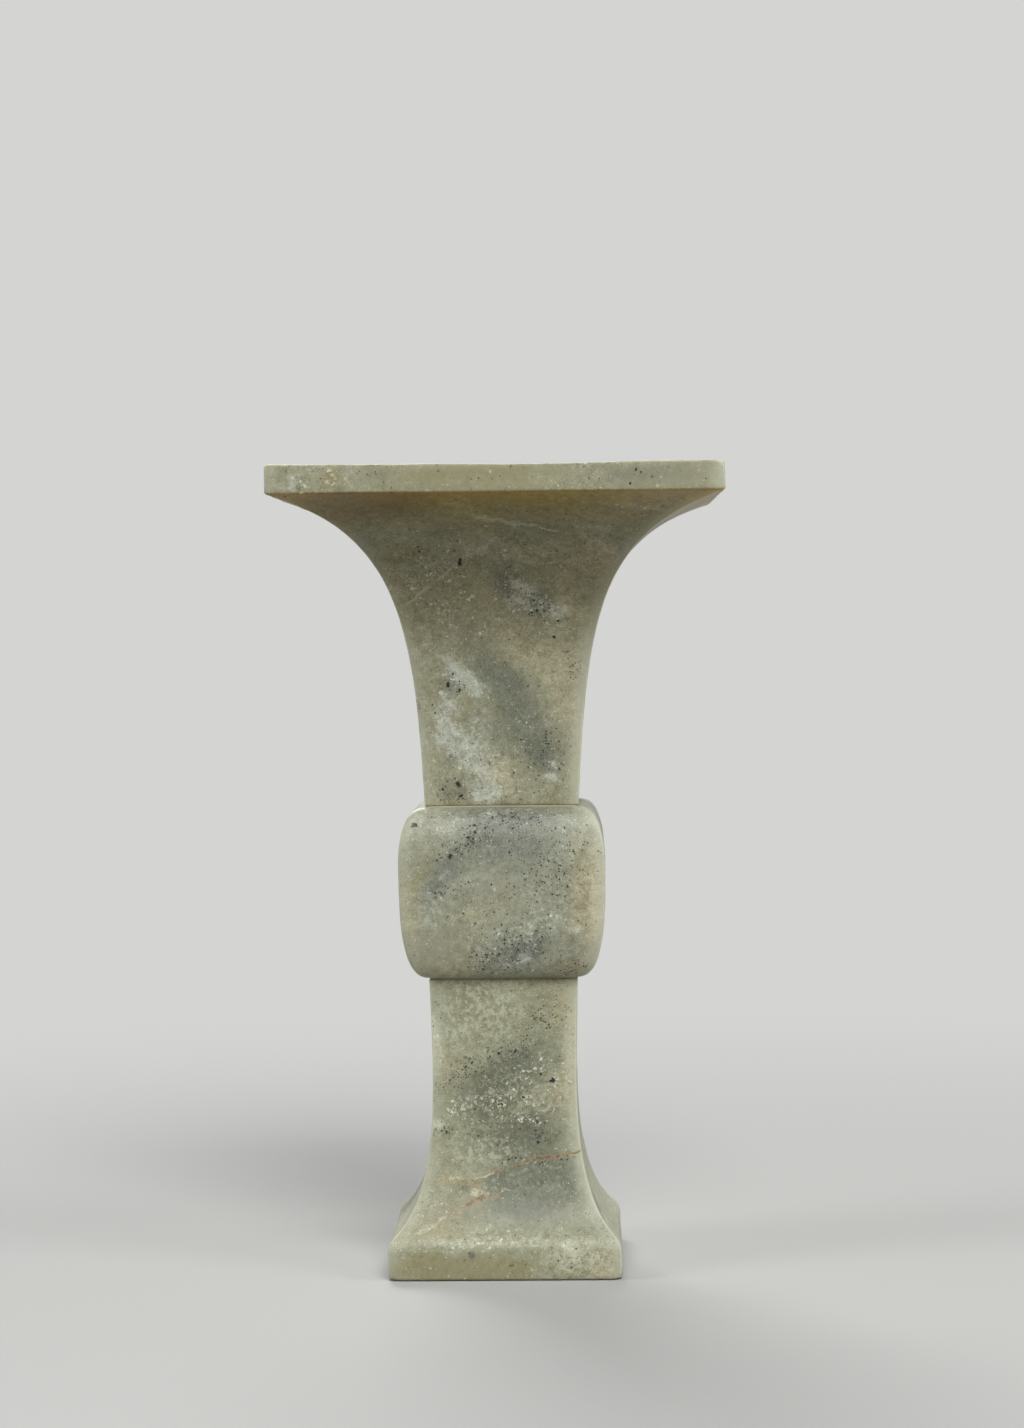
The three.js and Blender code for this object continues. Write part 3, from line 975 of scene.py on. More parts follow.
# %% [markdown]
# ## Coordinates for a jade
#
# All layers of a stone share some coordinates and noises. Ragged ones break the edges of
# clouds, bedded ones are stretched along the tilt in which the stone was laid down, bent ones
# let a line wander, and rough ones keep grains from looking round. The front needs less
# free noise than the other sides, because its marks are placed.

# %% A finish for jade
BEDDING = (2.2, 1.9, 0.8)
BEDDING_LEAN = 28
NEXT_SIDE = 90.0
STROKE_STRETCH = 0.03


class Jade(Finish):
    """A finish with the coordinates and noises that all layers of one stone share."""

    def __init__(self, name, tilt, marks, front):
        super().__init__(name)
        self.marks = marks
        self.front = front
        self.share_noises(tilt)
        self.find_sides()
        self.draw_strokes()

    def share_noises(self, tilt):
        """Coordinates pushed about by noise, and noises from wide to fine."""
        coarse = self.noise(self.place, 7, 3, 0.55, output=1)
        fine = self.noise(self.place, 1.7, 2, 0.6, output=1)
        hair = self.noise(self.place, 0.7, 1, 0.5, output=1)
        self.ragged = self.shifted(self.shifted(self.place, coarse, 5.0), fine, 1.6)
        self.bent = self.shifted(self.shifted(self.place, coarse, 3.5), fine, 1.3)
        self.rough = self.shifted(self.shifted(self.place, fine, 0.9), hair, 0.9)
        self.grainy = self.shifted(self.place, hair, 0.5)
        swirled = self.shifted(self.place, coarse, 9.0)
        self.bedded = self.laid(swirled, (3, 5, 7), BEDDING, tilt, BEDDING_LEAN)
        self.wide = self.noise(self.bedded, 16, 4, 0.6)
        self.lumps = self.noise(self.bedded, 6, 5, 0.65)
        self.grit = self.noise(self.place, 1.3, 4, 0.75)
        self.dust = self.noise(self.place, 0.4, 2, 0.6)

    def find_sides(self):
        """How far a place is from the front and the ridges, and whether it is on the outside."""
        self.x, self.y, self.z = self.parts(self.place)
        beside = self.math("ABSOLUTE", self.x)
        self.off_front = self.math("ADD", self.y, beside)
        self.elsewhere = self.rise(self.off_front, -4, 1, 0.16, 1.0)
        self.past_ridge = self.math("SUBTRACT", beside, self.math("ABSOLUTE", self.y))
        self.to_ridge = self.math("ABSOLUTE", self.past_ridge)
        self.facing = self.add("ShaderNodeNewGeometry").outputs["Normal"]
        outward = self.add("ShaderNodeVectorMath", operation="DOT_PRODUCT")
        self.feed(outward.inputs[0], self.facing)
        self.feed(outward.inputs[1], self.joined(self.x, self.y))
        self.outside = self.rise(outward.outputs["Value"], 0, 4)

    def draw_strokes(self):
        """Noise drawn out along the height, another on each side of a ridge."""
        on_side = self.rise(self.past_ridge, -0.01, 0.01)
        across = self.added(on_side, self.math("SUBTRACT", self.y, self.x), self.x)
        upward = self.times(self.z, STROKE_STRETCH)
        drawn = self.joined(across, self.times(on_side, NEXT_SIDE), upward)
        self.strokes = self.noise(drawn, 1.1, 2, 0.6)

    def bedded_from(self, centre):
        """Bedded coordinates counted from another centre, for a noise of their own."""
        return self.laid(self.bedded, centre, (1, 1, 1), 0)

    def marked(self, kind):
        """The placed marks of one kind, with ragged edges."""
        return self.patches(self.ragged, self.marks.get(kind, []), self.front)

    def lined(self, kind):
        """The placed lines of one kind, which wander a little."""
        return self.lines(self.bent, self.marks.get(kind, []), self.front)

    def broken(self, value, soft, gritty):
        """A value that noise makes uneven, so that the shape made from it breaks up."""
        return self.swing(self.grit, gritty, self.swing(self.lumps, soft, value))


print("a jade adds:", [name for name in vars(Jade) if not name.startswith("_")])

# %% [markdown]
# ## Ground and clouds
#
# The finish goes on in the order in which the stone would have formed. First comes the ground,
# with beige and olive stretches, then blue-grey bands, milky veils and a few cream
# flaws. Marks and noise are added before the rise that turns them into a share between
# 0 and 1, so a mark's edge fades and breaks up as a natural cloud does.

# %% Ground and clouds
FREE_OLIVE = 3.0
FREE_CLOUDS = 5.0


def lay_ground(jade, ground):
    """The milky ground with its beige and olive stretches."""
    warm = jade.math("ADD", jade.marked("beige"), jade.math("SUBTRACT", jade.wide, 0.55))
    colour = jade.blend(jade.rise(jade.broken(warm, 0.5, 0.4), 0.0, 0.9), ground, BEIGE)
    free = jade.times(jade.math("SUBTRACT", 0.40, jade.wide), jade.elsewhere)
    olive = jade.added(free, FREE_OLIVE, jade.marked("olive"))
    olive = jade.rise(jade.broken(olive, 0.5, 0.3), 0.05, 0.8, 0.0, 0.9)
    return jade.blend(olive, colour, OLIVE)


def lay_clouds(jade, colour, cloud_grey):
    """Blue-grey bands and milky veils. Their shares are kept for later layers."""
    jade.bands = jade.noise(jade.bedded_from((40, 9, 3)), 19, 3, 0.5)
    free = jade.times(jade.math("SUBTRACT", jade.bands, 0.5), jade.elsewhere)
    grey = jade.added(free, FREE_CLOUDS, jade.marked("grey"))
    jade.grey = jade.rise(jade.broken(grey, 0.9, 1.0), 0.05, 1.15, 0.0, 0.94)
    colour = jade.blend(jade.grey, colour, cloud_grey)
    veils = jade.noise(jade.bedded_from((9, 70, 21)), 13, 4, 0.55)
    jade.veils = jade.times(jade.math("SUBTRACT", veils, 0.535), jade.elsewhere)
    white = jade.added(jade.veils, FREE_CLOUDS, jade.marked("white"))
    jade.white = jade.rise(jade.broken(white, 1.2, 1.5), 0.1, 1.2, 0.0, 0.92)
    return jade.blend(jade.white, colour, jade.milk)


def find_felt(jade):
    """Where crystals and soft blotches are crowded, and where the stone is calm."""
    crystals = jade.added(jade.veils, FREE_CLOUDS, jade.marked("crystals"))
    jade.room = jade.rise(crystals, 0.0, 0.8)
    rice = jade.added(jade.veils, FREE_CLOUDS, jade.marked("rice"))
    jade.felt = jade.rise(rice, 0.0, 0.8)
    smooth = jade.times(jade.rise(jade.to_ridge, 0.3, 3.0, 0.6, 0.0), jade.outside)
    calm = jade.math("ADD", jade.marked("calm"), smooth)
    jade.calm = jade.rise(calm, 0.0, 0.9, 1.0, 0.3)


def lay_flaws(jade, colour):
    """Cream flaws."""
    cream = jade.rise(jade.broken(jade.marked("cream"), 0.6, 1.2), 0.1, 0.8, 0.0, 0.85)
    return jade.blend(cream, colour, CREAM)


print("ground and clouds in", BEIGE[:3], OLIVE[:3], CREAM[:3])

# %% [markdown]
# ## Mottle
#
# Close up, the stone is a felt of tiny crystals, so soft blotches a few millimetres wide are
# everywhere. They multiply the colour, darker and lighter by turns, because they belong to
# every cloud and stretch alike.

# %% Mottle


def mottle(jade, colour):
    """Soft blotches everywhere, warm where they are dark, weaker in calm places."""
    uneven = jade.math("SUBTRACT", jade.noise(jade.rough, 2.4, 2, 0.5), 0.5)
    uneven = jade.swing(jade.lumps, 0.9, uneven)
    uneven = jade.swing(jade.dust, 1.7, uneven)
    coarse = jade.rise(jade.larger(jade.room, jade.grey), 0, 1, 0.9, 1.8)
    uneven = jade.swing(jade.grit, coarse, uneven)
    level = jade.added(uneven, jade.calm, 0.5)
    tint = jade.blend(level, MOTTLE_DARK, MOTTLE_LIGHT)
    return jade.blend(1.0, colour, tint, "MULTIPLY")


print("the mottle goes from", MOTTLE_DARK[:3], "to", MOTTLE_LIGHT[:3])

# %% [markdown]
# ## Grains
#
# Bright crystals stand out where the felt is coarse, and dark mineral grains follow the grey
# bands. Noise alone gives wool, so the grains come from a Voronoi pattern: each cell may hold
# one grain, by chance, and two more chances set its size and its strength.

# %% Grains in cells


def crystal_cells(jade, size, feature="F1"):
    """A pattern of cells of about one size, with ragged borders."""
    cells = jade.add("ShaderNodeTexVoronoi", feature=feature)
    jade.feed(cells.inputs["Vector"], jade.grainy)
    jade.feed(cells.inputs["Scale"], 1 / size)
    return cells.outputs


def drawn_lots(jade, cells, density):
    """Whether each cell holds a grain, and two more chances for its size and strength."""
    chance = jade.add("ShaderNodeSeparateColor")
    jade.feed(chance.inputs[0], cells["Color"])
    held = jade.rise(jade.math("ADD", chance.outputs[0], density), 0.98, 1.02)
    return held, chance.outputs[1], chance.outputs[2]


def grains(jade, size, density, smallest, largest, faintest=0.35):
    """Small ragged grains, each somewhere in its cell."""
    cells = crystal_cells(jade, size)
    held, second, third = drawn_lots(jade, cells, density)
    few_large = jade.math("POWER", second, 1.7)
    radius = jade.added(few_large, largest - smallest, smallest)
    ragged = jade.swing(jade.dust, 1.3, radius)
    inside = jade.rise(jade.math("SUBTRACT", ragged, cells["Distance"]), -0.08, 0.10)
    strength = jade.rise(third, 0, 1, faintest, 1.0)
    return jade.times(jade.times(held, inside), strength)


def shards(jade, size, density):
    """Angular grains that fill their cells, apart from a ragged border."""
    held, second, third = drawn_lots(jade, crystal_cells(jade, size), density)
    border = crystal_cells(jade, size, "DISTANCE_TO_EDGE")["Distance"]
    ragged = jade.swing(jade.dust, 0.6, border)
    shrunk = jade.added(second, -0.25, ragged)
    inside = jade.rise(shrunk, 0.0, 0.14)
    strength = jade.rise(third, 0, 1, 0.25, 1.0)
    return jade.times(jade.times(held, inside), strength)


print("a cell may hold a small grain or an angular shard")

# %% [markdown]
# ## Crystals and specks
#
# The pale grains are tiny dots and angular flecks, over soft blotches like felted rice. The
# dark ones are a fine pepper, black specks in streaks, and single spots that are placed.

# %% Crystals and specks
DOT_CELL = 0.7
FLECK_CELL = 1.1
PEPPER_CELL = 0.6
FINE_SPECK_CELL = 0.75
COARSE_SPECK_CELL = 1.15


def grow_crystals(jade, colour):
    """Soft pale blotches, tiny dots and angular flecks, crowded where the stone is crystalline."""
    rice = jade.rise(jade.noise(jade.rough, 1.4, 1, 0.5), 0.46, 0.66)
    rice = jade.times(rice, jade.rise(jade.felt, 0, 1, 0.08, 0.55))
    colour = jade.blend(rice, colour, jade.milk)
    room = jade.larger(jade.larger(jade.room, jade.healed), jade.times(jade.white, 0.7))
    density = jade.times(jade.rise(room, 0, 1, 0.2, 0.6), jade.calm)
    tiny = jade.times(grains(jade, DOT_CELL, density, 0.15, 0.42), 0.6)
    crowd = jade.rise(room, 0, 1, 0.006, 0.2)
    crowd = jade.added(jade.rise(jade.marked("chips"), 0.1, 0.8), 0.5, crowd)
    crowd = jade.added(jade.healed, 0.2, crowd)
    flecks = jade.times(shards(jade, FLECK_CELL, crowd), 0.85)
    return jade.blend(jade.larger(tiny, flecks), colour, FLECK)


def sow_specks(jade, colour):
    """Fine pepper, black specks in streaks, and single spots. Keeps the share of dark."""
    peppered = jade.times(jade.rise(jade.grey, 0, 0.8, 0.22, 0.5), jade.calm)
    pepper = grains(jade, PEPPER_CELL, peppered, 0.15, 0.42)
    colour = jade.blend(jade.times(pepper, 0.5), colour, PEPPER)
    streak = jade.times(jade.rise(jade.bands, 0.52, 0.68, 0.0, 0.9), jade.elsewhere)
    crowd = jade.math("ADD", jade.marked("specks"), streak)
    density = jade.rise(crowd, 0.0, 1.0, 0.02, 0.66)
    coarse = grains(jade, COARSE_SPECK_CELL, jade.times(density, 0.4), 0.18, 0.46, 0.6)
    fine = grains(jade, FINE_SPECK_CELL, density, 0.22, 0.46, 0.75)
    spots = jade.swing(jade.dust, 1.2, jade.times(jade.marked("spots"), 1.6))
    spots = jade.rise(jade.broken(spots, 0.2, 1.0), 0.3, 0.75)
    jade.dark = jade.larger(jade.larger(coarse, fine), spots)
    return jade.blend(jade.dark, colour, SPECK)


print("pale grains come in cells of", DOT_CELL, "and", FLECK_CELL, "mm")
print("dark ones in cells of", PEPPER_CELL, FINE_SPECK_CELL, "and", COARSE_SPECK_CELL, "mm")

# %% [markdown]
# ## Veins
#
# Old cracks healed while the stone was still in the ground. Some are rows of pale grains, and
# some let rust in and are thin tan lines. On the front they are placed. On the other sides
# they follow the level lines of a noise, which wander and close as veins do, and there only
# the outside of the stone has rusty ones.

# %% Veins


def find_veins(jade):
    """Where healed and rusty cracks run: placed on the front, along level lines elsewhere."""
    levels = jade.noise(jade.bedded_from((17, 3, 60)), 15, 3, 0.5)
    from_level = jade.math("ABSOLUTE", jade.math("SUBTRACT", levels, 0.5))
    off_front = jade.rise(jade.off_front, 0, 5)
    free = jade.times(jade.rise(from_level, 0.0, 0.018, 1.0, 0.0), off_front)
    pale_stretch = jade.rise(jade.wide, 0.5, 0.6, 0.0, 0.9)
    jade.healed = jade.larger(jade.lined("healed"), jade.times(free, pale_stretch))
    rusty_stretch = jade.times(jade.rise(jade.wide, 0.42, 0.34, 0.0, 0.9), jade.outside)
    jade.rusty = jade.larger(jade.lined("rust"), jade.times(free, rusty_stretch))


def draw_veins(jade, colour):
    """A faint veil along healed cracks, and a tan line with a dark core along rusty ones."""
    feathery = jade.rise(jade.added(jade.healed, 0.1, jade.grit), 0.40, 0.62, 0.10, 0.85)
    colour = jade.blend(jade.times(jade.healed, feathery), colour, jade.milk)
    uneven = jade.rise(jade.added(jade.rusty, 0.2, jade.grit), 0.40, 0.66, 0.4, 0.95)
    colour = jade.blend(jade.times(jade.rusty, uneven), colour, RUST)
    gritty = jade.rise(jade.grit, 0.40, 0.56, 0.1, 0.85)
    core = jade.times(jade.rise(jade.rusty, 0.55, 0.9), gritty)
    return jade.blend(core, colour, RUST_CORE)


print("rusty veins are", RUST[:3], "with a core of", RUST_CORE[:3])

# %% [markdown]
# ## Stains and wear
#
# Cement has crept a little way into the stone at each joint and left a soft brown edge.
# Ridges are paler, partly because they are worn smooth and partly as a painted glow of light
# coming through the thin stone, strongest on the right where the light comes from, with a
# painted highlight line along each.
# The sides and the back were ground less finely than the front, which left faint upright lines.

# %% Stains and wear


def stain_joint(jade, colour, joint):
    """A soft brown edge along a joint at one height."""
    away = jade.math("ABSOLUTE", jade.math("SUBTRACT", jade.z, joint))
    crept = jade.added(jade.lumps, 2.4, away)
    return jade.blend(jade.rise(crept, 0.8, 3.2, 0.55, 0.0), colour, JOINT_TINT, "MULTIPLY")


def grind_lines(jade, colour):
    """Faint lines down the sides and the back, where the grinding was left less fine."""
    share = jade.times(jade.rise(jade.off_front, 0, 3, 0.0, 0.38), jade.outside)
    tint = jade.blend(jade.rise(jade.strokes, 0.35, 0.68), STROKE_DARK, STROKE_LIGHT)
    return jade.blend(share, colour, tint, "MULTIPLY")


def light_and_wear_on_ridges(jade, colour):
    """Paler margins along the ridges, partly wear and partly painted glow, most of all on the right
    where the light comes from, and a painted highlight line on each.
    """
    near = jade.swing(jade.grit, 5.0, jade.swing(jade.lumps, 6.0, jade.to_ridge))
    share = jade.times(jade.rise(jade.x, -10, 20, 0.26, 0.55), jade.outside)
    share = jade.times(share, jade.rise(jade.rusty, 0, 1, 1.0, 0.2))
    # The margin is partly wear and partly painted glow, stronger on the right, where the light
    # comes from.
    glow_and_wear_margin = jade.times(jade.rise(near, 0.0, 5.5, 1.0, 0.0), share)
    colour = jade.blend(glow_and_wear_margin, colour, RIDGE_GLOW_AND_WEAR)
    worn = jade.times(jade.rise(jade.lumps, 0.35, 0.65, 0.2, 0.65), jade.outside)
    # A thin painted highlight along each ridge.
    painted_ridge_highlight = jade.times(jade.rise(jade.to_ridge, 0.15, 0.7, 1.0, 0.0), worn)
    return jade.blend(painted_ridge_highlight, colour, RIDGE_GLOW_AND_WEAR)


print("worn ridges are", RIDGE_GLOW_AND_WEAR[:3])

# %% [markdown]
# ## Polish
#
# The polish is soft. It varies a little, and dark grains take less of it. Some light enters the
# stone and comes out again nearby, which gives jade its milky look. Full gloss would look
# like glass, and no light inside would look like painted plaster.

# %% Polish
GLOSS = 0.38
DARK_DULLNESS = 0.15
LIGHT_INSIDE = 0.3
LIGHT_REACH = 0.0018
LIGHT_TINT = (1.0, 1.0, 0.75)
PIT_STRENGTH = 0.12
PIT_DEPTH = 0.0004


def polish(jade, colour):
    """A soft gloss, fine pits, and some light inside the stone."""
    dull = jade.rise(jade.lumps, 0.25, 0.75, 0.36, 0.50)
    pits = jade.add("ShaderNodeBump")
    jade.feed(pits.inputs["Strength"], PIT_STRENGTH)
    jade.feed(pits.inputs["Distance"], PIT_DEPTH)
    jade.feed(pits.inputs["Height"], jade.grit)
    jade.set_surface({
        "Base Color": colour,
        "Roughness": jade.added(jade.dark, DARK_DULLNESS, dull),
        "Specular IOR Level": GLOSS,
        "Subsurface Weight": LIGHT_INSIDE,
        "Subsurface Radius": LIGHT_TINT,
        "Subsurface Scale": LIGHT_REACH,
        "Normal": pits.outputs[0],
    })


print("light reaches about", LIGHT_REACH / MM, "mm into the stone")

# %% [markdown]
# ## Painted shade under the lip
#
# Under the lip the flare is painted darker, as painted shade of the lip's overhang: warmer
# brown near the lip and darker at the left, away from the lamps. It is laid on by height, and
# mostly where the surface faces down, so the lip and the inside stay without it. Right at the
# lip's edge a painted glow stands for the little light that comes through the thin stone. The
# painted shade multiplies the colour, so the grain still shows through.

# %% Painted shade under the lip
# How far down from the rim the painted shade reaches and fades, and where the warmer painted shade
# and the painted glow begin.
SHADE_REACH = 60
SHADE_FULL = 36
SHADE_FADES = 33
WARM_SHADE_REACH = 24
GLOW_REACH = 14
LIP_CORNER = 9


def shade_under_lip(jade, colour):
    """Paints shade on the flare, warmer near the lip and darker at the left, and paints a glow at
    the lip's edge.
    """
    upward = jade.parts(jade.facing)["Z"]
    down = jade.rise(upward, -0.75, -0.1, 1.0, 0.0)
    height = jade.swing(jade.noise(jade.place, 9, 3, 0.6), 10.0, jade.z)
    fading = jade.rise(height, rim - SHADE_FADES, rim - LIP_CORNER, 1.0, 0.1)
    flare_shade = jade.times(jade.rise(height, rim - SHADE_REACH, rim - SHADE_FULL), fading)
    outside = jade.rise(upward, -0.05, 0.05, 1.0, 0.0)
    colour = jade.blend(jade.times(flare_shade, outside), colour, FLARE_SHADE_TINT, "MULTIPLY")
    warm_shade = jade.times(down, jade.rise(height, rim - WARM_SHADE_REACH, rim - LIP_CORNER))
    colour = jade.blend(warm_shade, colour, WARM_SHADE_TINT, "MULTIPLY")
    shaded_left = jade.times(down, jade.rise(jade.marked("grime"), 0.0, 0.9))
    colour = jade.blend(shaded_left, colour, LEFT_SHADE_TINT, "MULTIPLY")
    painted_glow = jade.times(down, jade.rise(jade.z, rim - GLOW_REACH, rim - LIP))
    return jade.blend(painted_glow, colour, PAINTED_GLOW_TINT, "MULTIPLY")


print("the stain reaches", SHADE_REACH, "mm down from the rim")

# %% [markdown]
# ## Where the front face is
#
# A mark is placed on the front face, so each stone needs to know how far that face stands from
# the middle at any height. Its outline tells: of all points at a height, the widest is outside.

# %% The front face from an outline
NEAR_HEIGHT = 1.2
SKIN = 1.0


def widest(rows):
    """Heights of an outline, each with its largest distance from the middle."""
    heights = np.unique(np.round(rows[:, 1], 0))
    near = [np.abs(rows[:, 1] - height) <= NEAR_HEIGHT for height in heights]
    reach = [rows[level, 0].max() for level in near]
    return heights, np.array(reach)


def front_of(rows):
    """How far the front face stands from the middle at a height, from a stone's outline."""
    outside = rows[rows[:, 0] >= np.interp(rows[:, 1], *widest(rows)) - SKIN]
    order = np.argsort(outside[:, 1])
    return lambda z: float(np.interp(z, outside[order, 1], outside[order, 0]))


print("the knop's front face stands", round(front_of(knop_outline)(belly[1]), 1), "mm out")

# %% [markdown]
# ## Three jades
#
# Each stone gets its own jade, with its own tones for the ground, the grey and the white. Its
# bedding lies at its own tilt: the neck's falls to the right, the knop's and the foot's rise.

# %% The three jades
FOOT_TILT = 25
KNOP_TILT = 30
NECK_TILT = -35


def jade_finish(stone, tones, tilt, marks, rows, joint):
    """Lays all layers of a jade on one stone. Its tones are the ground, the grey and the white."""
    ground, cloud_grey, milk = tones
    jade = Jade(stone.name.replace("stone", "jade"), tilt, marks, front_of(rows))
    jade.milk = milk
    colour = lay_clouds(jade, lay_ground(jade, ground), cloud_grey)
    find_felt(jade)
    find_veins(jade)
    colour = mottle(jade, lay_flaws(jade, colour))
    colour = draw_veins(jade, grow_crystals(jade, colour))
    colour = stain_joint(jade, sow_specks(jade, colour), joint)
    colour = light_and_wear_on_ridges(jade, grind_lines(jade, colour))
    if stone is neck_stone:
        colour = shade_under_lip(jade, colour)
    polish(jade, colour)
    stone.data.materials.append(jade.material)
    print(jade.material.name, "has", len(jade.tree.nodes), "nodes")


foot_tones = (FOOT_GROUND, FOOT_GREY, FOOT_WHITE)
knop_tones = (KNOP_GROUND, KNOP_GREY, KNOP_WHITE)
neck_tones = (NECK_GROUND, NECK_GREY, NECK_WHITE)
jade_finish(foot_stone, foot_tones, FOOT_TILT, foot_marks, foot_outline, foot_top)
jade_finish(knop_stone, knop_tones, KNOP_TILT, knop_marks, knop_outline, knop_top)
jade_finish(neck_stone, neck_tones, NECK_TILT, neck_marks, neck_outline, neck_foot)

# %% [markdown]
# ## The cement beds
#
# Only a hair of cement shows at each joint, as a dull brown line. The CAD solids are right as
# they are, so they stay and only get a finish: brown, grainy and quite matt.

# %% Cement
# These cement colours are paler than the cement's own brown: painted light that makes up for the
# shade in its recessed groove.
CEMENT_DARK = (0.42, 0.38, 0.27, 1)
CEMENT_LIGHT = (0.49, 0.45, 0.33, 1)
CEMENT_SAND = (0.48, 0.435, 0.32, 1)

cement = Finish("joint_cement")
sand = cement.noise(cement.place, 0.5, 3, 0.7)
stained = cement.rise(cement.noise(cement.place, 6, 3, 0.6), 0.3, 0.7)
cement_colour = cement.blend(stained, CEMENT_DARK, CEMENT_LIGHT)
sandy = cement.rise(sand, 0.5, 0.75, 0.0, 0.4)
cement.set_surface({
    "Base Color": cement.blend(sandy, cement_colour, CEMENT_SAND),
    "Roughness": cement.rise(sand, 0.3, 0.7, 0.8, 0.95),
})
for node in ("lower_cement_bed", "upper_cement_bed"):
    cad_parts[node].material_slots[0].material = cement.material
    print(node, "is finished in cement")

# %% [markdown]
# ## The floor
#
# The vase stands on a plain pale floor that takes its shadow. Farther out the floor fades into
# an even glow, so no horizon shows. Light Path tells the rays apart there: what the camera and
# reflections see is pale, while the light that bounces back to the stone stays low.

# %% The floor's shape
FLOOR_GAP = 0.0002


def make_floor(radius=4.0, rings=24, sides=96):
    """A round floor, with finer rings near the vase."""
    spread = radius * (np.arange(1, rings + 1) / rings) ** 2
    angles = np.arange(sides) / sides * 2 * math.pi
    circle = np.column_stack([np.cos(angles), np.sin(angles), np.zeros(sides)])
    points = (spread[:, None, None] * circle).reshape(-1, 3)
    number = np.arange(rings * sides).reshape(rings, sides)
    turned = np.roll(number, -1, axis=1)
    corners = [number[:-1], number[1:], turned[1:], turned[:-1]]
    quads = np.stack(corners, axis=2).reshape(-1, 4)
    mesh = bpy.data.meshes.new("studio_floor")
    mesh.from_pydata(points.tolist(), [], quads.tolist() + [number[0].tolist()])
    floor = bpy.data.objects.new("studio_floor", mesh)
    floor.location.z = -FLOOR_GAP
    bpy.context.scene.collection.objects.link(floor)
    return floor


floor = make_floor()
print("floor", floor.dimensions.x, "m across")

# %% The floor's finish
FLOOR_GREY = (0.40, 0.40, 0.39, 1)
PALE = (0.66, 0.66, 0.645, 1)
DIM = (0.10, 0.10, 0.10, 1)
GLOW_STARTS = 120
GLOW_FULL = 700


def seen_rays(wiring):
    """1 for rays from the camera, reflections and clear things, and 0 for other rays."""
    rays = wiring.add("ShaderNodeLightPath").outputs
    seen = wiring.larger(rays["Is Camera Ray"], rays["Is Glossy Ray"])
    return wiring.larger(seen, rays["Is Transmission Ray"])


ground = Finish("studio_floor")
ground.set_surface({"Base Color": FLOOR_GREY, "Roughness": 1.0, "Specular IOR Level": 0.0})
distance = ground.add("ShaderNodeVectorMath", operation="LENGTH")
ground.feed(distance.inputs[0], ground.place)
glow = ground.add("ShaderNodeEmission")
ground.feed(glow.inputs["Color"], ground.blend(seen_rays(ground), DIM, PALE))
fade = ground.add("ShaderNodeMixShader")
ground.feed(fade.inputs[0], ground.rise(distance.outputs["Value"], GLOW_STARTS, GLOW_FULL))
ground.feed(fade.inputs[1], ground.surface.outputs[0])
ground.feed(fade.inputs[2], glow.outputs[0])
ground.feed(ground.tree.nodes["Material Output"].inputs["Surface"], fade.outputs[0])
floor.data.materials.append(ground.material)
print("the floor glows from", GLOW_STARTS, "to", GLOW_FULL, "mm away")

# %% [markdown]
# ## The room
#
# The room around the floor has the same two colours for the same rays, so the far floor runs
# into it unseen. A plain pale room would be simpler, but it would light the stone from all
# sides and take away its shading.

# %% The room
world = bpy.data.worlds.new("studio_room")
world.use_nodes = True
room = Wiring(world.node_tree)
room_colour = room.blend(seen_rays(room), DIM, PALE)
room.feed(room.tree.nodes["Background"].inputs["Color"], room_colour)
bpy.context.scene.world = world
print("the room looks", PALE[:3], "and lights as", DIM[:3])

# %% [markdown]
# ## Lamps
#
# A large soft lamp high in front gives the stone its colour: bright on the foot's slope, plain
# on the upright faces, dark under the flare. A tall soft lamp at each side fills the sides, the
# left one a little stronger, and a soft lamp behind lights the back. The powers are set so that
# an upright face shows its colour about as it is written.

# %% Lamps


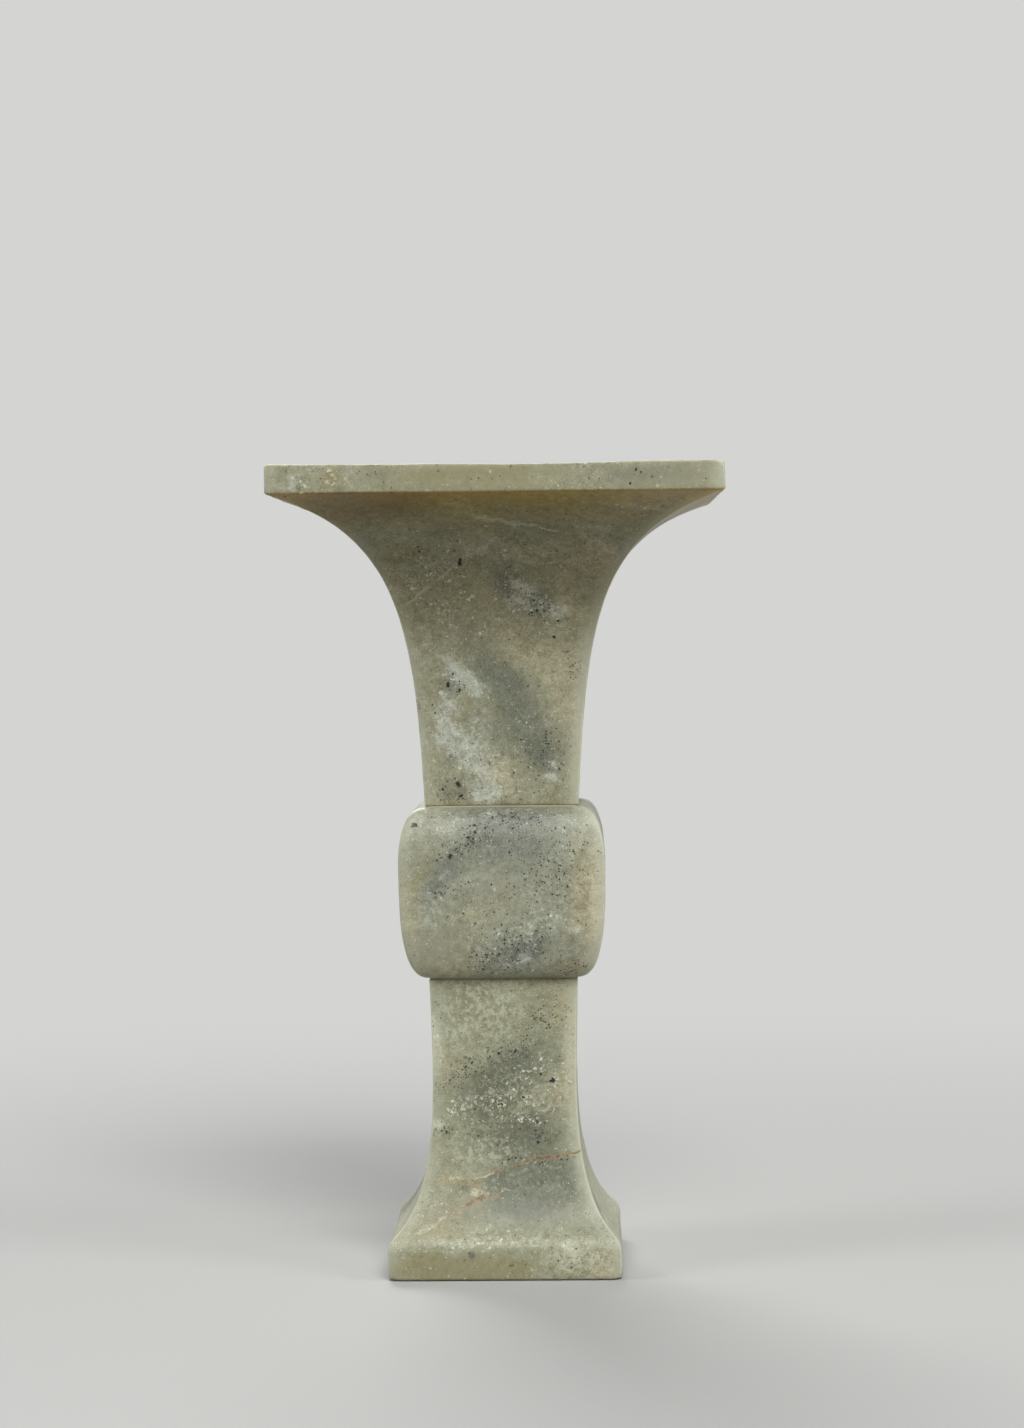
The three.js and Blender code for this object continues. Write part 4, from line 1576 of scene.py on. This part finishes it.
def make_lamp(name, place, aim, size, power):
    """A rectangular lamp at a place, turned to a point."""
    data = bpy.data.lights.new(name, "AREA")
    data.shape = "RECTANGLE"
    data.size, data.size_y = size
    data.energy = power
    lamp = bpy.data.objects.new(name, data)
    lamp.location = place
    lamp.rotation_euler = (Vector(aim) - Vector(place)).to_track_quat("-Z", "Y").to_euler()
    bpy.context.scene.collection.objects.link(lamp)
    print(name, power, "W")


VASE_MIDDLE = (0, 0, 0.13)
make_lamp("front_lamp", (0.42, -1.42, 1.53), VASE_MIDDLE, (0.9, 1.2), power=41.4)
make_lamp("right_lamp", (1.45, -0.62, 0.75), VASE_MIDDLE, (0.5, 1.2), power=10.5)
make_lamp("left_lamp", (-1.45, -0.55, 0.75), VASE_MIDDLE, (0.5, 1.2), power=11.5)
make_lamp("back_lamp", (-0.4, 1.5, 1.5), VASE_MIDDLE, (0.9, 0.9), power=35.0)

# %% [markdown]
# ## Camera
#
# The camera stands about a metre away, a little right of the middle and near the height of the
# vase's neck, looking slightly down. Its place and lens were found from the vase's own edges.

# %% Camera
CAMERA_PLACE = (0.02547, -1.01827, 0.19524)
CAMERA_LENS = 84.42
SENSOR_WIDTH = 36
YAW = 0.0222
PITCH = -0.02828
ROLL = -0.01022

ahead = Vector((
    -math.sin(YAW) * math.cos(PITCH),
    math.cos(YAW) * math.cos(PITCH),
    math.sin(PITCH),
))
right = Vector((math.cos(YAW), math.sin(YAW), 0))
up = right.cross(ahead)
rolled_right = math.cos(ROLL) * right + math.sin(ROLL) * up
rolled_up = math.cos(ROLL) * up - math.sin(ROLL) * right
turn = Matrix((rolled_right, rolled_up, -ahead)).transposed().to_4x4()

camera_data = bpy.data.cameras.new("camera")
camera_data.lens = CAMERA_LENS
camera_data.sensor_width = SENSOR_WIDTH
camera_data.sensor_fit = "AUTO"
camera = bpy.data.objects.new("camera", camera_data)
camera.matrix_world = Matrix.Translation(CAMERA_PLACE) @ turn
bpy.context.scene.collection.objects.link(camera)
bpy.context.scene.camera = camera
bpy.context.scene.view_settings.view_transform = "Standard"
print("camera at", CAMERA_PLACE)

# %% Update the view layer
bpy.context.view_layer.update()
